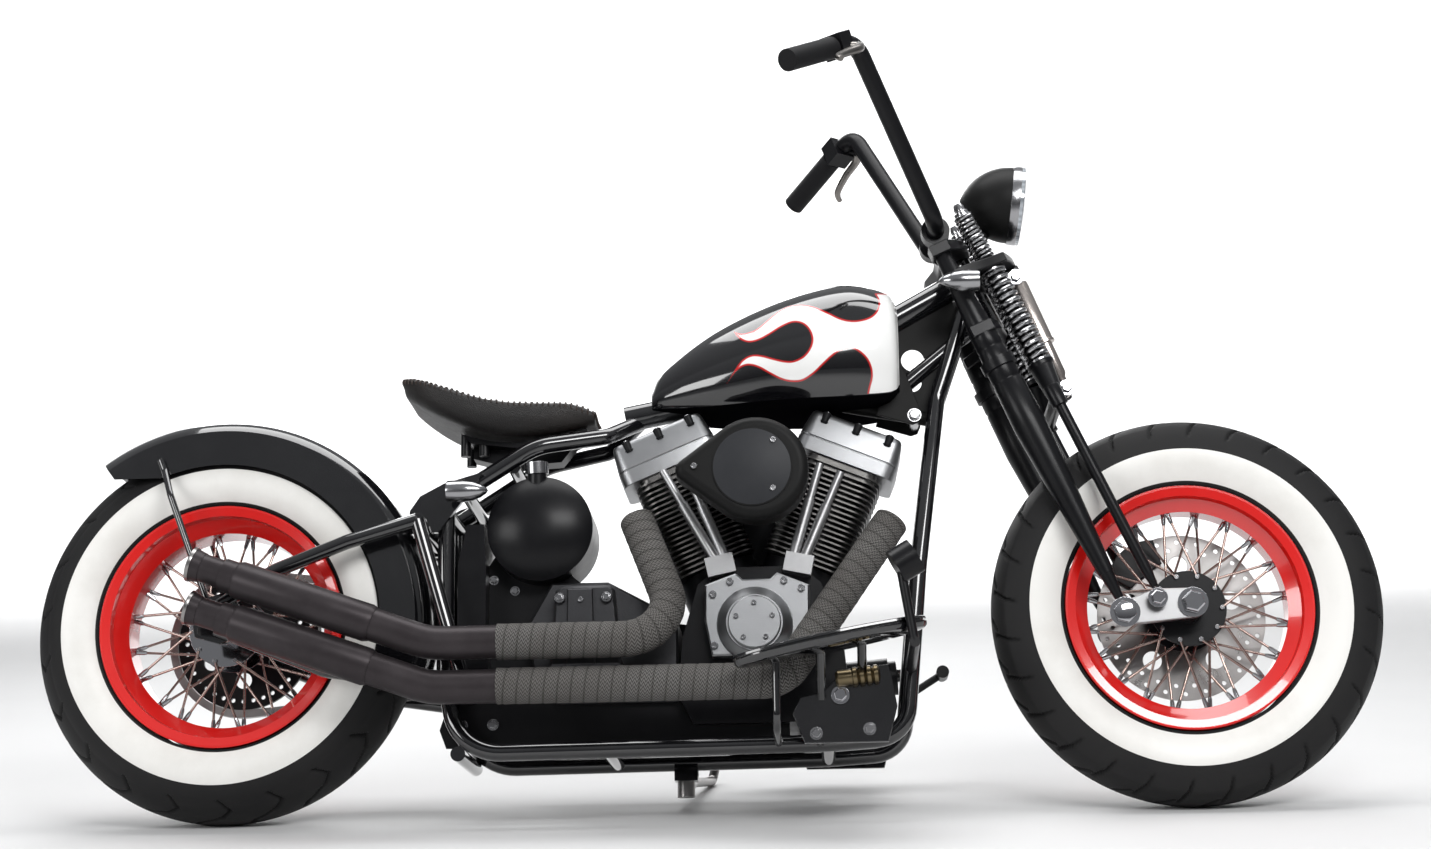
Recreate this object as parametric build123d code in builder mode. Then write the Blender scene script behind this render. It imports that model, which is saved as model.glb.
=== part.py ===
"""Springer-fork chopper with an air-cooled 45 degree V-twin, parked on its side stand.

Every piece is drawn with the machine upright: X forward, Y to the rider's left, Z up, the rear
tyre's lowest point at X = 0 and Z = 0. PARKED then leans the whole machine onto its stand and puts
the origin on the ground in the middle of its length and width.
"""
from build123d import *
from math import asin, atan2, cos, degrees, pi, radians, sin, sqrt, tan
import os

os.makedirs("parts", exist_ok=True)

# ---- driving dimensions, millimetres and degrees -------------------------------------------------
LEAN = 14.0                 # lean onto the side stand
WHEELBASE = 1709.0
CENTRE_Y = 209.1            # middle of the parked machine's width, left of the tyres' contact line
RAKE = 24.0                 # steering axis from upright
HEAD_X, HEAD_Z = 1335.0, 980.0   # top of the steering head
CLEAR = 0.3                 # seating gap between pieces that move on each other
SHAFT_CLEAR = 0.05          # radial running clearance of a shaft in its bore

TYRE_R = 344.0
CROWN_R = 90.0              # tread crown radius, the same at both ends
TYRE_WALL = 14.0
RIM_R = 217.0               # rim flange
BEAD_R = 203.0              # bead seat
WELL_R = 180.0              # outside of the rim's well
RIM_WALL = 4.0
AXLE_R = 12.5
SPOKE_R = 2.3
SPOKE_PAIRS = 10            # pairs of crossed spokes on each hub flange
SPOKE_LACING = 26.0         # degrees from a spoke's hub hole to its nipple
HUB_FLANGE_R = 67.0
SPOKE_HUB_R = 59.0
HUB_BARREL_R = 27.0

FRONT_TYRE_HALF, FRONT_RIM_HALF = 70.0, 55.0
REAR_TYRE_HALF, REAR_RIM_HALF = 92.0, 79.0
FRONT_FLANGE_Y, REAR_FLANGE_Y = 32.0, 34.0

ROTOR_R, ROTOR_T, ROTOR_Y = 150.0, 5.0, 62.0
CHAIN_PITCH = 15.875
CHAIN_Y = 115.0
CHAIN_W = 16.0
CHAIN_H = 14.0
REAR_TEETH, FRONT_TEETH = 52, 24
FRONT_SPROCKET_X, FRONT_SPROCKET_Z = 650.0, 330.0

FRAME_TUBE_R = 15.0
RAIL_Y = 112.0              # lower cradle rails
SWING_Y = 142.0             # swingarm arms
SWING_TUBE_R = 13.0
HEAD_TUBE_R = 29.0
HEAD_TUBE_TOP, HEAD_TUBE_BOTTOM = 20.0, -125.0

CRANK_X, CRANK_Z = 956.0, 245.0
V_HALF = 22.5
CYL_BASE, CYL_TOP = 205.0, 398.0     # cylinder finning along its own axis
FIN_PITCH, FIN_T = 9.5, 3.0
FIN_X, FIN_Y = 150.0, 162.0
BARREL_R = 62.0
HEAD_H = 22.0
ROCKER_H = 78.0
ROCKER_X, ROCKER_Y = 186.0, 158.0

LEG_Y = 100.0               # springer legs from the centre plane
LEG_BACK = 30.0             # rear legs behind the steering axis
ROD_AHEAD = 35.0            # front rods ahead of the steering axis
BAR_R = 16.0
STEM_R = 13.95               # steering stem, in the head tube's bore
STAND_TOP = 74.0            # underside of the side stand's lug on the frame
GRIP_R = 20.0

REAR_AXLE = Vector(0, 0, TYRE_R)
FRONT_AXLE = Vector(WHEELBASE, 0, TYRE_R)
HEAD = Vector(HEAD_X, 0, HEAD_Z)
STEER_UP = Vector(-sin(radians(RAKE)), 0, cos(radians(RAKE)))
STEER_FWD = Vector(cos(radians(RAKE)), 0, sin(radians(RAKE)))
PARKED = Location((-WHEELBASE / 2, -CENTRE_Y, CROWN_R * (1 - cos(radians(LEAN)))), (-LEAN, 0, 0))


def forked(ahead, y, up):
    """Point given from the steering head: ahead of the axis, to the left, up along the axis."""
    return HEAD + STEER_FWD * ahead + Vector(0, y, 0) + STEER_UP * up


def tube(points, radius, bends, mode=Mode.ADD):
    """Add a round bar that follows straight runs joined by tangent arcs."""
    with BuildLine() as path:
        FilletPolyline(*points, radius=bends)
    with BuildSketch(Plane(path.line @ 0, z_dir=path.line % 0)) as ring:
        Circle(radius)
    sweep(ring.sketch, path=path.line, mode=mode)


def rod(start, end, radius, end_radius=None, mode=Mode.ADD):
    """Add a straight round bar or cone from one point to the other."""
    start, end = Vector(start), Vector(end)
    reach = end - start
    with Locations(Plane(start, z_dir=reach).location):
        align = (Align.CENTER, Align.CENTER, Align.MIN)
        if end_radius is None:
            Cylinder(radius, reach.length, align=align, mode=mode)
        else:
            Cone(radius, end_radius, reach.length, align=align, mode=mode)


def turned(start, towards, profile, mode=Mode.ADD):
    """Add a turned bar from start, given by (distance along it, radius) pairs."""
    start, towards = Vector(start), Vector(towards)
    along = (towards - start).normalized()
    with BuildSketch(Plane(start, x_dir=along, z_dir=along.cross(Vector(0, 1, 0)))) as half:
        with BuildLine():
            Polyline((profile[0][0], 0), *profile, (profile[-1][0], 0), close=True)
        make_face()
    revolve(half.sketch, axis=Axis(start, along), mode=mode)


def block(x_span, y_span, z_span, mode=Mode.ADD):
    """Add a box given by its lowest and highest X, Y and Z."""
    spans = (x_span, y_span, z_span)
    with Locations([tuple((low + high) / 2 for low, high in spans)]):
        Box(*(high - low for low, high in spans), mode=mode)


def plate(outline, y_from, y_to, mode=Mode.ADD):
    """Add a flat plate standing along the machine, from its X and Z outline."""
    with BuildSketch(Plane((0, y_to, 0), x_dir=(1, 0, 0), z_dir=(0, -1, 0))) as face:
        with BuildLine():
            Polyline(*outline, close=True)
        make_face()
    extrude(face.sketch, amount=y_to - y_from, mode=mode)


def across(x, z, radius, y_from, y_to, mode=Mode.ADD):
    """Add a round bar lying across the machine."""
    rod((x, y_from, z), (x, y_to, z), radius, mode=mode)


def write(piece, name):
    """Label a finished piece and write it as the parked machine holds it."""
    piece.part.label = name
    parked = piece.part.moved(PARKED)
    parked.label = name
    export_step(parked, f"parts/{name}.step")


# ---- wheels --------------------------------------------------------------------------------------
def axle_plane(axle, y=0.0):
    """Plane with its X axis radial, its Y axis along the axle."""
    return Plane(axle + Vector(0, y, 0), x_dir=(1, 0, 0), z_dir=(0, 0, 1))


def tyre_section(half, rim_half):
    """Draw one tyre's hollow section: radius along X, width along Y."""
    crown = radians(CROWN_ARC * half / REAR_TYRE_HALF)
    shoulder = (TYRE_R - CROWN_R + CROWN_R * cos(crown), CROWN_R * sin(crown))
    bulge = ((TYRE_R + RIM_R) / 2 - 6, half)
    bead_y = rim_half - RIM_WALL - CLEAR
    with BuildLine() as outline:
        for side in (1, -1):
            Polyline((BEAD_R + CLEAR, 0), (BEAD_R + CLEAR, side * bead_y), (RIM_R + 2, side * bead_y))
            ThreePointArc((RIM_R + 2, side * bead_y), (bulge[0], side * bulge[1]),
                          (shoulder[0], side * shoulder[1]))
        ThreePointArc((shoulder[0], shoulder[1]), (TYRE_R, 0), (shoulder[0], -shoulder[1]))
    make_face(outline.edges())


CROWN_ARC = 50.0            # half angle of the tread crown on the wide tyre

# name, axle, tyre half width, rim half width, flange from centre
WHEELS = (
    ("front", FRONT_AXLE, FRONT_TYRE_HALF, FRONT_RIM_HALF, FRONT_FLANGE_Y),
    ("rear", REAR_AXLE, REAR_TYRE_HALF, REAR_RIM_HALF, REAR_FLANGE_Y),
)


def make_tyre(axle, half, rim_half):
    with BuildPart() as tyre:
        with BuildSketch(axle_plane(axle)) as section:
            tyre_section(half, rim_half)
        revolve(section.sketch, axis=Axis(axle, (0, 1, 0)))
        with BuildSketch(axle_plane(axle)) as air:
            tyre_section(half, rim_half)
            offset(amount=-TYRE_WALL)
        revolve(air.sketch, axis=Axis(axle, (0, 1, 0)), mode=Mode.SUBTRACT)
    return tyre


def make_rim(axle, rim_half):
    """Deep-dished rim: flange, bead seat and drop well, one even wall."""
    well_half = rim_half * 0.45
    # radius, distance from the centre plane
    outer = ((RIM_R, rim_half), (RIM_R - 2, rim_half - RIM_WALL), (BEAD_R, rim_half - RIM_WALL),
             (BEAD_R - 2, rim_half - 16), (WELL_R, well_half))
    inner = ((RIM_R - RIM_WALL, rim_half), (BEAD_R - RIM_WALL, rim_half - 3),
             (BEAD_R - RIM_WALL - 2, rim_half - 18), (WELL_R - RIM_WALL, well_half - 2))
    outline = [*outer, *[(r, -y) for r, y in reversed(outer)],
               *[(r, -y) for r, y in inner], *reversed(inner)]
    with BuildPart() as rim:
        with BuildSketch(axle_plane(axle)) as section:
            with BuildLine():
                Polyline(*outline, close=True)
            make_face()
        revolve(section.sketch, axis=Axis(axle, (0, 1, 0)))
    return rim


def make_spokes(axle, flange_y):
    """Crossed spokes: a leading and a trailing one at each pair of flange holes."""
    with BuildPart() as spokes:
        step = 360 / SPOKE_PAIRS
        for side in (1, -1):
            for pair in range(SPOKE_PAIRS):
                for lead in (1, -1):
                    at_hub = radians((pair + 0.25 * side + 0.25 * lead) * step)
                    at_rim = at_hub + lead * radians(SPOKE_LACING)
                    hub_y = side * (flange_y + lead * SPOKE_OFFSET)
                    rim_y = side * (SPOKE_RIM_Y + lead * SPOKE_OFFSET)
                    start = axle + Vector(SPOKE_HUB_R * cos(at_hub), hub_y, SPOKE_HUB_R * sin(at_hub))
                    reach = WELL_R - RIM_WALL - CLEAR
                    end = axle + Vector(reach * cos(at_rim), rim_y, reach * sin(at_rim))
                    rod(start, end, SPOKE_R)
    return spokes


SPOKE_OFFSET = 4.4          # leading spokes outside the flange, trailing ones inside
SPOKE_RIM_Y = 12.0


def make_hub(axle, flange_y, half):
    with BuildPart() as hub:
        across(axle.X, axle.Z, HUB_BARREL_R, axle.Y - half, axle.Y + half)
        for side in (1, -1):
            flange = side * flange_y
            across(axle.X, axle.Z, HUB_FLANGE_R, flange - 2, flange + 2)
        across(axle.X, axle.Z, AXLE_R + SHAFT_CLEAR, -half - 1, half + 1, mode=Mode.SUBTRACT)
    return hub


for name, axle, tyre_half, rim_half, flange_y in WHEELS:
    write(make_tyre(axle, tyre_half, rim_half), f"{name}_tyre")
    write(make_rim(axle, rim_half), f"{name}_rim")
    write(make_spokes(axle, flange_y), f"{name}_spokes")

FRONT_HUB_HALF, REAR_HUB_HALF = ROTOR_Y - ROTOR_T / 2, CHAIN_Y - 4.0
write(make_hub(FRONT_AXLE, FRONT_FLANGE_Y, FRONT_HUB_HALF), "front_hub")
write(make_hub(REAR_AXLE, REAR_FLANGE_Y, REAR_HUB_HALF), "rear_hub")

with BuildPart() as front_rotor:
    with BuildSketch(Plane(FRONT_AXLE + Vector(0, ROTOR_Y + ROTOR_T / 2, 0), z_dir=(0, 1, 0))):
        Circle(ROTOR_R)
        with PolarLocations(ROTOR_R - 55, 5):
            Circle(17, mode=Mode.SUBTRACT)
        with PolarLocations(ROTOR_R - 12, 24):
            Circle(4, mode=Mode.SUBTRACT)
        with PolarLocations(ROTOR_R - 26, 24, start_angle=7.5):
            Circle(4, mode=Mode.SUBTRACT)
        Circle(AXLE_R + 3, mode=Mode.SUBTRACT)
    extrude(amount=-ROTOR_T)
write(front_rotor, "front_rotor")

REAR_SPROCKET_R = CHAIN_PITCH / 2 / sin(pi / REAR_TEETH)
FRONT_SPROCKET_R = CHAIN_PITCH / 2 / sin(pi / FRONT_TEETH)
with BuildPart() as rear_sprocket:
    with BuildSketch(Plane(REAR_AXLE + Vector(0, CHAIN_Y + 4, 0), z_dir=(0, 1, 0))):
        Circle(REAR_SPROCKET_R - CHAIN_H / 2 - 1)
        with PolarLocations(REAR_SPROCKET_R - 62, 6):
            Circle(15, mode=Mode.SUBTRACT)
        with PolarLocations(REAR_SPROCKET_R - 24, 36):
            Circle(4, mode=Mode.SUBTRACT)
        Circle(AXLE_R + 3, mode=Mode.SUBTRACT)
    extrude(amount=-8)
write(rear_sprocket, "rear_sprocket")

# ---- rolling gear on the frame -------------------------------------------------------------------
with BuildPart() as drive_chain:
    centre_gap = Vector(FRONT_SPROCKET_X, 0, FRONT_SPROCKET_Z) - REAR_AXLE
    tilt = degrees(atan2(centre_gap.Z, centre_gap.X))
    span = centre_gap.length
    chain_plane = Plane(REAR_AXLE + Vector(0, CHAIN_Y - CHAIN_W / 2, 0),
                        x_dir=centre_gap, z_dir=(0, -1, 0))

    def chain_loop(grow):
        """Outline of a belt round both sprockets, grown from the pitch line."""
        big, small = REAR_SPROCKET_R + grow, FRONT_SPROCKET_R + grow
        wrap = asin((big - small) / span)
        reach, lift = sin(wrap), cos(wrap)
        with BuildLine() as belt:
            Line((big * reach, big * lift), (span + small * reach, small * lift))
            ThreePointArc((span + small * reach, small * lift), (span + small, 0),
                          (span + small * reach, -small * lift))
            Line((span + small * reach, -small * lift), (big * reach, -big * lift))
            ThreePointArc((big * reach, -big * lift), (-big, 0), (big * reach, big * lift))
        make_face(belt.edges())

    with BuildSketch(chain_plane) as loop:
        chain_loop(CHAIN_H / 2)
    extrude(loop.sketch, amount=-CHAIN_W)
    with BuildSketch(chain_plane) as inside:
        chain_loop(-CHAIN_H / 2)
    extrude(inside.sketch, amount=-CHAIN_W, mode=Mode.SUBTRACT)
write(drive_chain, "drive_chain")

with BuildPart() as rear_axle:
    across(0, TYRE_R, AXLE_R, -SWING_Y - 20, SWING_Y + 20)
    for side in (1, -1):
        with BuildSketch(Plane(REAR_AXLE + Vector(0, side * (SWING_Y + 14), 0), z_dir=(0, side, 0))):
            RegularPolygon(19, 6)
        extrude(amount=12)
write(rear_axle, "rear_axle")

SWING_PIVOT = (446.0, 212.0)      # X, Z of the swingarm pivot
SWING_TOP_R = 13.0
SWING_TOP = (358.0, 512.0)        # X, Z of its upper bracket
with BuildPart() as swingarm:
    for side in (1, -1):
        y = side * SWING_Y
        tube([(8, y, TYRE_R + 22), (110, y, 428), (234, y, 476), (SWING_TOP[0], y, SWING_TOP[1])],
             SWING_TUBE_R, 60)
        tube([(8, y, TYRE_R - 18), (200, y, 250), (SWING_PIVOT[0], y, SWING_PIVOT[1])],
             SWING_TUBE_R, 80)
        rod((SWING_TOP[0], y, SWING_TOP[1]), (SWING_PIVOT[0], y, SWING_PIVOT[1]), SWING_TUBE_R)
        plate([(-28, TYRE_R - 32), (-34, TYRE_R), (-20, TYRE_R + 34), (30, TYRE_R + 48),
               (52, TYRE_R + 16), (52, TYRE_R - 34), (14, TYRE_R - 44)], y - 6, y + 6)
    across(SWING_PIVOT[0], SWING_PIVOT[1], 20, -SWING_Y, SWING_Y)
    across(SWING_TOP[0], SWING_TOP[1], SWING_TOP_R, -SWING_Y, SWING_Y)
    across(0, TYRE_R, AXLE_R + CLEAR, -SWING_Y - 30, SWING_Y + 30, mode=Mode.SUBTRACT)
write(swingarm, "swingarm")

# ---- main frame ----------------------------------------------------------------------------------
UPRIGHT_X, UPRIGHT_Y = 402.0, 86.0       # rear uprights, inside the chain and ahead of the fender
BACKBONE = [(1180, 0, 880), (960, 0, 768), (716, 0, 722)]
BACKBONE_R = 24.0
with BuildPart() as main_frame:
    rod(forked(0, 0, HEAD_TUBE_BOTTOM), forked(0, 0, HEAD_TUBE_TOP), HEAD_TUBE_R)
    tube([forked(-14, 0, -14), *BACKBONE], BACKBONE_R, 160)
    tube([forked(-10, 0, -98), (1210, 0, 760), (940, 0, 756)], FRAME_TUBE_R, 60)
    for side in (1, -1):
        y = side * RAIL_Y
        upright = side * UPRIGHT_Y
        tube([forked(-18, side * 20, -62), (1282, side * 26, 739), (1236, side * 88, 420),
              (1204, y, 118), (1070, y, 110), (430, y, 104), (UPRIGHT_X, upright, 250),
              (UPRIGHT_X, upright, 560)], FRAME_TUBE_R, (60, 160, 60, 20, 90, 60))
        tube([(742, 0, 716), (684, side * 58, 676), (560, side * 80, 656),
              (UPRIGHT_X, upright, 556)], FRAME_TUBE_R, (30, 120))
        plate([(336, 496), (340, 536), (358, 562), (400, 584), (470, 604), (440, 560), (390, 496)],
              *sorted((side * 101.3, side * 113)))
    for x, z in ((1070, 110), (690, 107), (430, 104)):
        across(x, z, 13, -RAIL_Y, RAIL_Y)
    across(520, 620, 12, -76, 76)
    for x, z in ((UPRIGHT_X, 540), (440, 566)):
        across(x, z, 12, -107, 107)
    block((792, 834), (RAIL_Y - 16, RAIL_Y + 20), (STAND_TOP, 104))
    rod(forked(0, 0, HEAD_TUBE_BOTTOM - 1), forked(0, 0, HEAD_TUBE_TOP + 1), STEM_R + SHAFT_CLEAR,
        mode=Mode.SUBTRACT)
    across(SWING_TOP[0], SWING_TOP[1], SWING_TOP_R + CLEAR, -150, 150, mode=Mode.SUBTRACT)
write(main_frame, "main_frame")

# ---- rear fender ---------------------------------------------------------------------------------
FENDER_R, FENDER_HALF, FENDER_T = 376.0, 101.0, 3.0
FENDER_SKIRT = 88.0
STRUT_R = 6.0
FENDER_FROM, FENDER_TO = -14.0, 126.5     # degrees round the axle from straight ahead
with BuildPart() as rear_fender:
    spin = Plane(REAR_AXLE, x_dir=(cos(radians(FENDER_FROM)), 0, sin(radians(FENDER_FROM))),
                 z_dir=(-sin(radians(FENDER_FROM)), 0, cos(radians(FENDER_FROM))))
    with BuildSketch(spin) as arch:
        with BuildLine():
            low, shoulder = FENDER_R - FENDER_SKIRT, FENDER_R - 26
            Line((low, -FENDER_HALF), (shoulder, -FENDER_HALF))
            ThreePointArc((shoulder, -FENDER_HALF), (FENDER_R - 7, -FENDER_HALF + 19),
                          (FENDER_R - 3, -FENDER_HALF + 45))
            ThreePointArc((FENDER_R - 3, -FENDER_HALF + 45), (FENDER_R, 0),
                          (FENDER_R - 3, FENDER_HALF - 45))
            ThreePointArc((FENDER_R - 3, FENDER_HALF - 45), (FENDER_R - 7, FENDER_HALF - 19),
                          (shoulder, FENDER_HALF))
            Line((shoulder, FENDER_HALF), (low, FENDER_HALF))
            offset(amount=-FENDER_T, side=Side.LEFT)
        make_face()
    revolve(arch.sketch, axis=Axis(REAR_AXLE, (0, -1, 0)), revolution_arc=FENDER_TO - FENDER_FROM)
    block((-400, -95), (-200, 200), (300, 610), mode=Mode.SUBTRACT)
    for side in (1, -1):
        by_fender, by_plate = side * (FENDER_HALF + STRUT_R - 0.5), side * (SWING_Y - 12 - CLEAR)
        tube([(-112, by_fender, 642), (-104, by_fender, 622), (-86, by_plate, 572),
              (-10, by_plate, TYRE_R + 26)], STRUT_R, (14, 24))
write(rear_fender, "rear_fender")

# ---- fuel tank -----------------------------------------------------------------------------------
# x, half width, bottom, shoulder, top
TANK_SECTIONS = (
    (1214, 92, 752, 850, 912),
    (1196, 116, 734, 850, 940),
    (1120, 134, 726, 842, 960),
    (1000, 130, 724, 822, 932),
    (880, 98, 722, 792, 880),
    (792, 56, 728, 764, 816),
    (766, 34, 734, 750, 768),
)
with BuildPart() as fuel_tank:
    for x, half, bottom, shoulder, top in TANK_SECTIONS:
        with BuildSketch(Plane((x, 0, 0), x_dir=(0, -1, 0), z_dir=(-1, 0, 0))):
            with BuildLine():
                foot = half * 0.82
                Line((-foot, bottom), (foot, bottom))
                for side in (1, -1):
                    ThreePointArc((side * foot, bottom), (side * half * 0.97, (bottom * 2 + shoulder) / 3),
                                  (side * half, shoulder))
                    ThreePointArc((side * half, shoulder),
                                  (side * half * 0.74, shoulder + (top - shoulder) * 0.70), (0, top))
            make_face()
    loft()
    plate([(1240, 700), (1240, 940), (1180, 914), (960, 800), (700, 752), (700, 700)], -38, 38,
          mode=Mode.SUBTRACT)
write(fuel_tank, "fuel_tank")

with BuildPart() as fuel_cap:
    rod((1090, 0, 958), (1090, 0, 974), 33)
    rod((1090, 0, 974), (1090, 0, 984), 38)
    add(fuel_tank.part, mode=Mode.SUBTRACT)
write(fuel_cap, "fuel_cap")

# ---- seat ----------------------------------------------------------------------------------------
# x, half width, underside, rim height, dish depth at the middle
SEAT_SECTIONS = (
    (668, 62, 698, 722, 4),
    (600, 78, 682, 742, 10),
    (520, 104, 672, 738, 16),
    (440, 132, 684, 748, 20),
    (370, 128, 716, 772, 14),
    (316, 84, 756, 788, 6),
)
with BuildPart() as seat:
    for x, half, under, rim, dish in SEAT_SECTIONS:
        with BuildSketch(Plane((x, 0, 0), x_dir=(0, -1, 0), z_dir=(-1, 0, 0))):
            with BuildLine():
                foot = half * 0.7
                Line((-foot, under), (foot, under))
                for side in (1, -1):
                    ThreePointArc((side * foot, under), (side * half * 0.96, (under * 2 + rim) / 3),
                                  (side * half, rim - 6))
                    Line((side * half, rim - 6), (side * (half - 8), rim))
                ThreePointArc((8 - half, rim), (0, rim - dish), (half - 8, rim))
            make_face()
    loft()
write(seat, "seat")

with BuildPart() as seat_pan:
    plate([(396, 712), (440, 672), (520, 662), (600, 670), (650, 690), (650, 698), (396, 720)], -50, 50)
    plate([(440, 674), (640, 690), (600, 640), (500, 634), (440, 650)], -22, 22)
    for x in (428, 462):
        for side in (1, -1):
            rod((x, side * 40, 650), (x, side * 40, 690), 9)
    add(seat.part, mode=Mode.SUBTRACT)
write(seat_pan, "seat_pan")

# ---- oil tank and battery box --------------------------------------------------------------------
OIL_X, OIL_Z, OIL_R = 569.0, 503.0, 94.0
OIL_FROM, OIL_TO, OIL_DOME = -92.0, 42.0, 30.0
OIL_CAP_Y = -84.0
with BuildPart() as oil_tank:
    with BuildSketch(Plane((OIL_X, 0, OIL_Z), x_dir=(0, 1, 0), z_dir=(1, 0, 0))):
        with BuildLine():
            Line((OIL_FROM - OIL_DOME, 0), (OIL_TO + OIL_DOME, 0))
            Line((OIL_FROM, OIL_R), (OIL_TO, OIL_R))
            ThreePointArc((OIL_FROM - OIL_DOME, 0), (OIL_FROM - OIL_DOME * 0.74, OIL_R * 0.55),
                          (OIL_FROM, OIL_R))
            ThreePointArc((OIL_TO + OIL_DOME, 0), (OIL_TO + OIL_DOME * 0.74, OIL_R * 0.55),
                          (OIL_TO, OIL_R))
        make_face()
    revolve(axis=Axis((OIL_X, 0, OIL_Z), (0, 1, 0)))
    rod((OIL_X - 6, OIL_CAP_Y, OIL_Z + 70), (OIL_X - 6, OIL_CAP_Y - 2, OIL_Z + 104), 17)
write(oil_tank, "oil_tank")

with BuildPart() as oil_tank_cap:
    rod((OIL_X - 6, OIL_CAP_Y - 2, OIL_Z + 100), (OIL_X - 7, OIL_CAP_Y - 4, OIL_Z + 121), 21)
    add(oil_tank.part, mode=Mode.SUBTRACT)
write(oil_tank_cap, "oil_tank_cap")

with BuildPart() as battery_box:
    plate([(424, 250), (424, 440), (440, 512), (470, 512), (474, 430), (474, 300), (480, 250)],
          -96, 96)
write(battery_box, "battery_box")

# ---- engine --------------------------------------------------------------------------------------
CASE_Y = 96.0
with BuildPart() as crankcase:
    plate([(838, 150), (812, 200), (820, 300), (848, 394), (884, 424), (1028, 424), (1064, 394),
           (1100, 300), (1108, 200), (1074, 150)], -CASE_Y, CASE_Y)
    for tilt in (-V_HALF, V_HALF):
        lean = radians(tilt)
        up = Vector(sin(lean), 0, cos(lean))
        foot = Vector(CRANK_X, 0, CRANK_Z)
        rod(foot + up * 120, foot + up * (CYL_BASE - 2), 74)
write(crankcase, "crankcase")


def cylinder_plane(tilt):
    """Plane at the crank centre, Z up one cylinder, X across its fins towards the front."""
    lean = radians(tilt)
    return Plane((CRANK_X, 0, CRANK_Z), x_dir=(cos(lean), 0, -sin(lean)), z_dir=(sin(lean), 0, cos(lean)))


with BuildPart() as cylinders:
    for tilt in (-V_HALF, V_HALF):
        base = cylinder_plane(tilt)
        with BuildSketch(base.offset(CYL_BASE - 1)) as core:
            Circle(BARREL_R)
        extrude(core.sketch, amount=CYL_TOP - CYL_BASE + 1)
        for level in range(int((CYL_TOP - CYL_BASE) / FIN_PITCH)):
            with BuildSketch(base.offset(CYL_BASE + level * FIN_PITCH)) as fin:
                RectangleRounded(FIN_X, FIN_Y, 30)
            extrude(fin.sketch, amount=FIN_T)
        with BuildSketch(base.offset(CYL_TOP - HEAD_H)) as head:
            RectangleRounded(FIN_X - 20, FIN_Y - 16, 20)
        extrude(head.sketch, amount=HEAD_H)
write(cylinders, "cylinders")

with BuildPart() as rocker_boxes:
    for tilt in (-V_HALF, V_HALF):
        base = cylinder_plane(tilt).offset(CYL_TOP + CLEAR)
        with BuildSketch(base) as foot:
            RectangleRounded(ROCKER_X, ROCKER_Y, 22)
        extrude(foot.sketch, amount=ROCKER_H * 0.42)
        with BuildSketch(base.offset(ROCKER_H * 0.42)) as lid:
            RectangleRounded(ROCKER_X - 6, ROCKER_Y - 6, 20)
        extrude(lid.sketch, amount=ROCKER_H * 0.58, taper=9)
write(rocker_boxes, "rocker_boxes")

CAM_Y = -CASE_Y - CLEAR
TAPPET_Y = -108.0
# foot x, foot z, top x, top z
PUSHRODS = ((880, 436, 789, 600), (898, 436, 832, 594), (1016, 434, 1068, 606), (1034, 430, 1104, 590))
with BuildPart() as pushrod_tubes:
    for foot_x, foot_z, top_x, top_z in PUSHRODS:
        foot, top = Vector(foot_x, TAPPET_Y, foot_z), Vector(top_x, TAPPET_Y + 8, top_z)
        rod(foot, foot + (top - foot) * 0.62, 10)
        rod(foot + (top - foot) * 0.6, top, 7.5)
    for middle, lean in ((889, -12), (1026, 12)):
        with Locations(Location((middle, CAM_Y - 14, 424), (0, lean, 0))):
            Box(50, 28, 34)
write(pushrod_tubes, "pushrod_tubes")

with BuildPart() as cam_cover:
    plate([(862, 262), (862, 398), (1022, 398), (1042, 372), (1042, 300), (1010, 250), (880, 250)],
          CAM_Y - 34, CAM_Y)
    rod((948, CAM_Y - 34, 316), (948, CAM_Y - 52, 316), 62, 50)
    rod((948, CAM_Y - 52, 316), (948, CAM_Y - 58, 316), 44)
write(cam_cover, "cam_cover")

AIR_X, AIR_Z, AIR_R = 957.0, 571.0, 91.0
AIR_IN, AIR_OUT = -178.0, -238.0
AIR_TIP_X, AIR_TIP_R = 838.0, 20.0
with BuildPart() as air_cleaner:
    with BuildSketch(Plane((0, AIR_IN, 0), x_dir=(1, 0, 0), z_dir=(0, -1, 0))):
        with Locations((AIR_X, AIR_Z)):
            Circle(AIR_R)
        with Locations((AIR_TIP_X, AIR_Z)):
            Circle(AIR_TIP_R)
        make_hull()
    extrude(amount=AIR_IN - AIR_OUT)
    fillet(air_cleaner.edges().group_by(Axis.Y)[0], 16)
    rod((AIR_X - 6, AIR_OUT + 1, AIR_Z), (AIR_X - 6, AIR_OUT - 2, AIR_Z), 69)
    across(956, 590, 34, AIR_IN - 1, -60)
    block((926, 986), (-96, -20), (556, 624))
write(air_cleaner, "air_cleaner")

with BuildPart() as transmission:
    plate([(560, 230), (548, 330), (590, 404), (690, 404), (770, 360), (812, 330), (812, 190),
           (600, 190)], -92, 92)
    plate([(590, 250), (600, 396), (616, 404), (690, 404), (704, 396), (716, 250)], -124, -92)
write(transmission, "transmission")

PRIMARY_Y = (126.0, 188.0)
with BuildPart() as primary_cover:
    with BuildSketch(Plane((0, PRIMARY_Y[0], 0), x_dir=(-1, 0, 0), z_dir=(0, 1, 0))):
        with Locations((-956, 250)):
            Circle(92)
        with Locations((-640, 268)):
            Circle(118)
        make_hull()
    extrude(amount=PRIMARY_Y[1] - PRIMARY_Y[0])
    fillet(primary_cover.edges().group_by(Axis.Y)[-1], 18)
    across(956, 250, 70, CASE_Y + CLEAR, PRIMARY_Y[0])
write(primary_cover, "primary_cover")

# ---- exhaust -------------------------------------------------------------------------------------
WRAP_R, PIPE_R = 31.5, 29.0
PIPE_Y = -206.0
UPPER_Z, LOWER_Z = 282.0, 206.0
WRAP_END_X = 510.0
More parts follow.
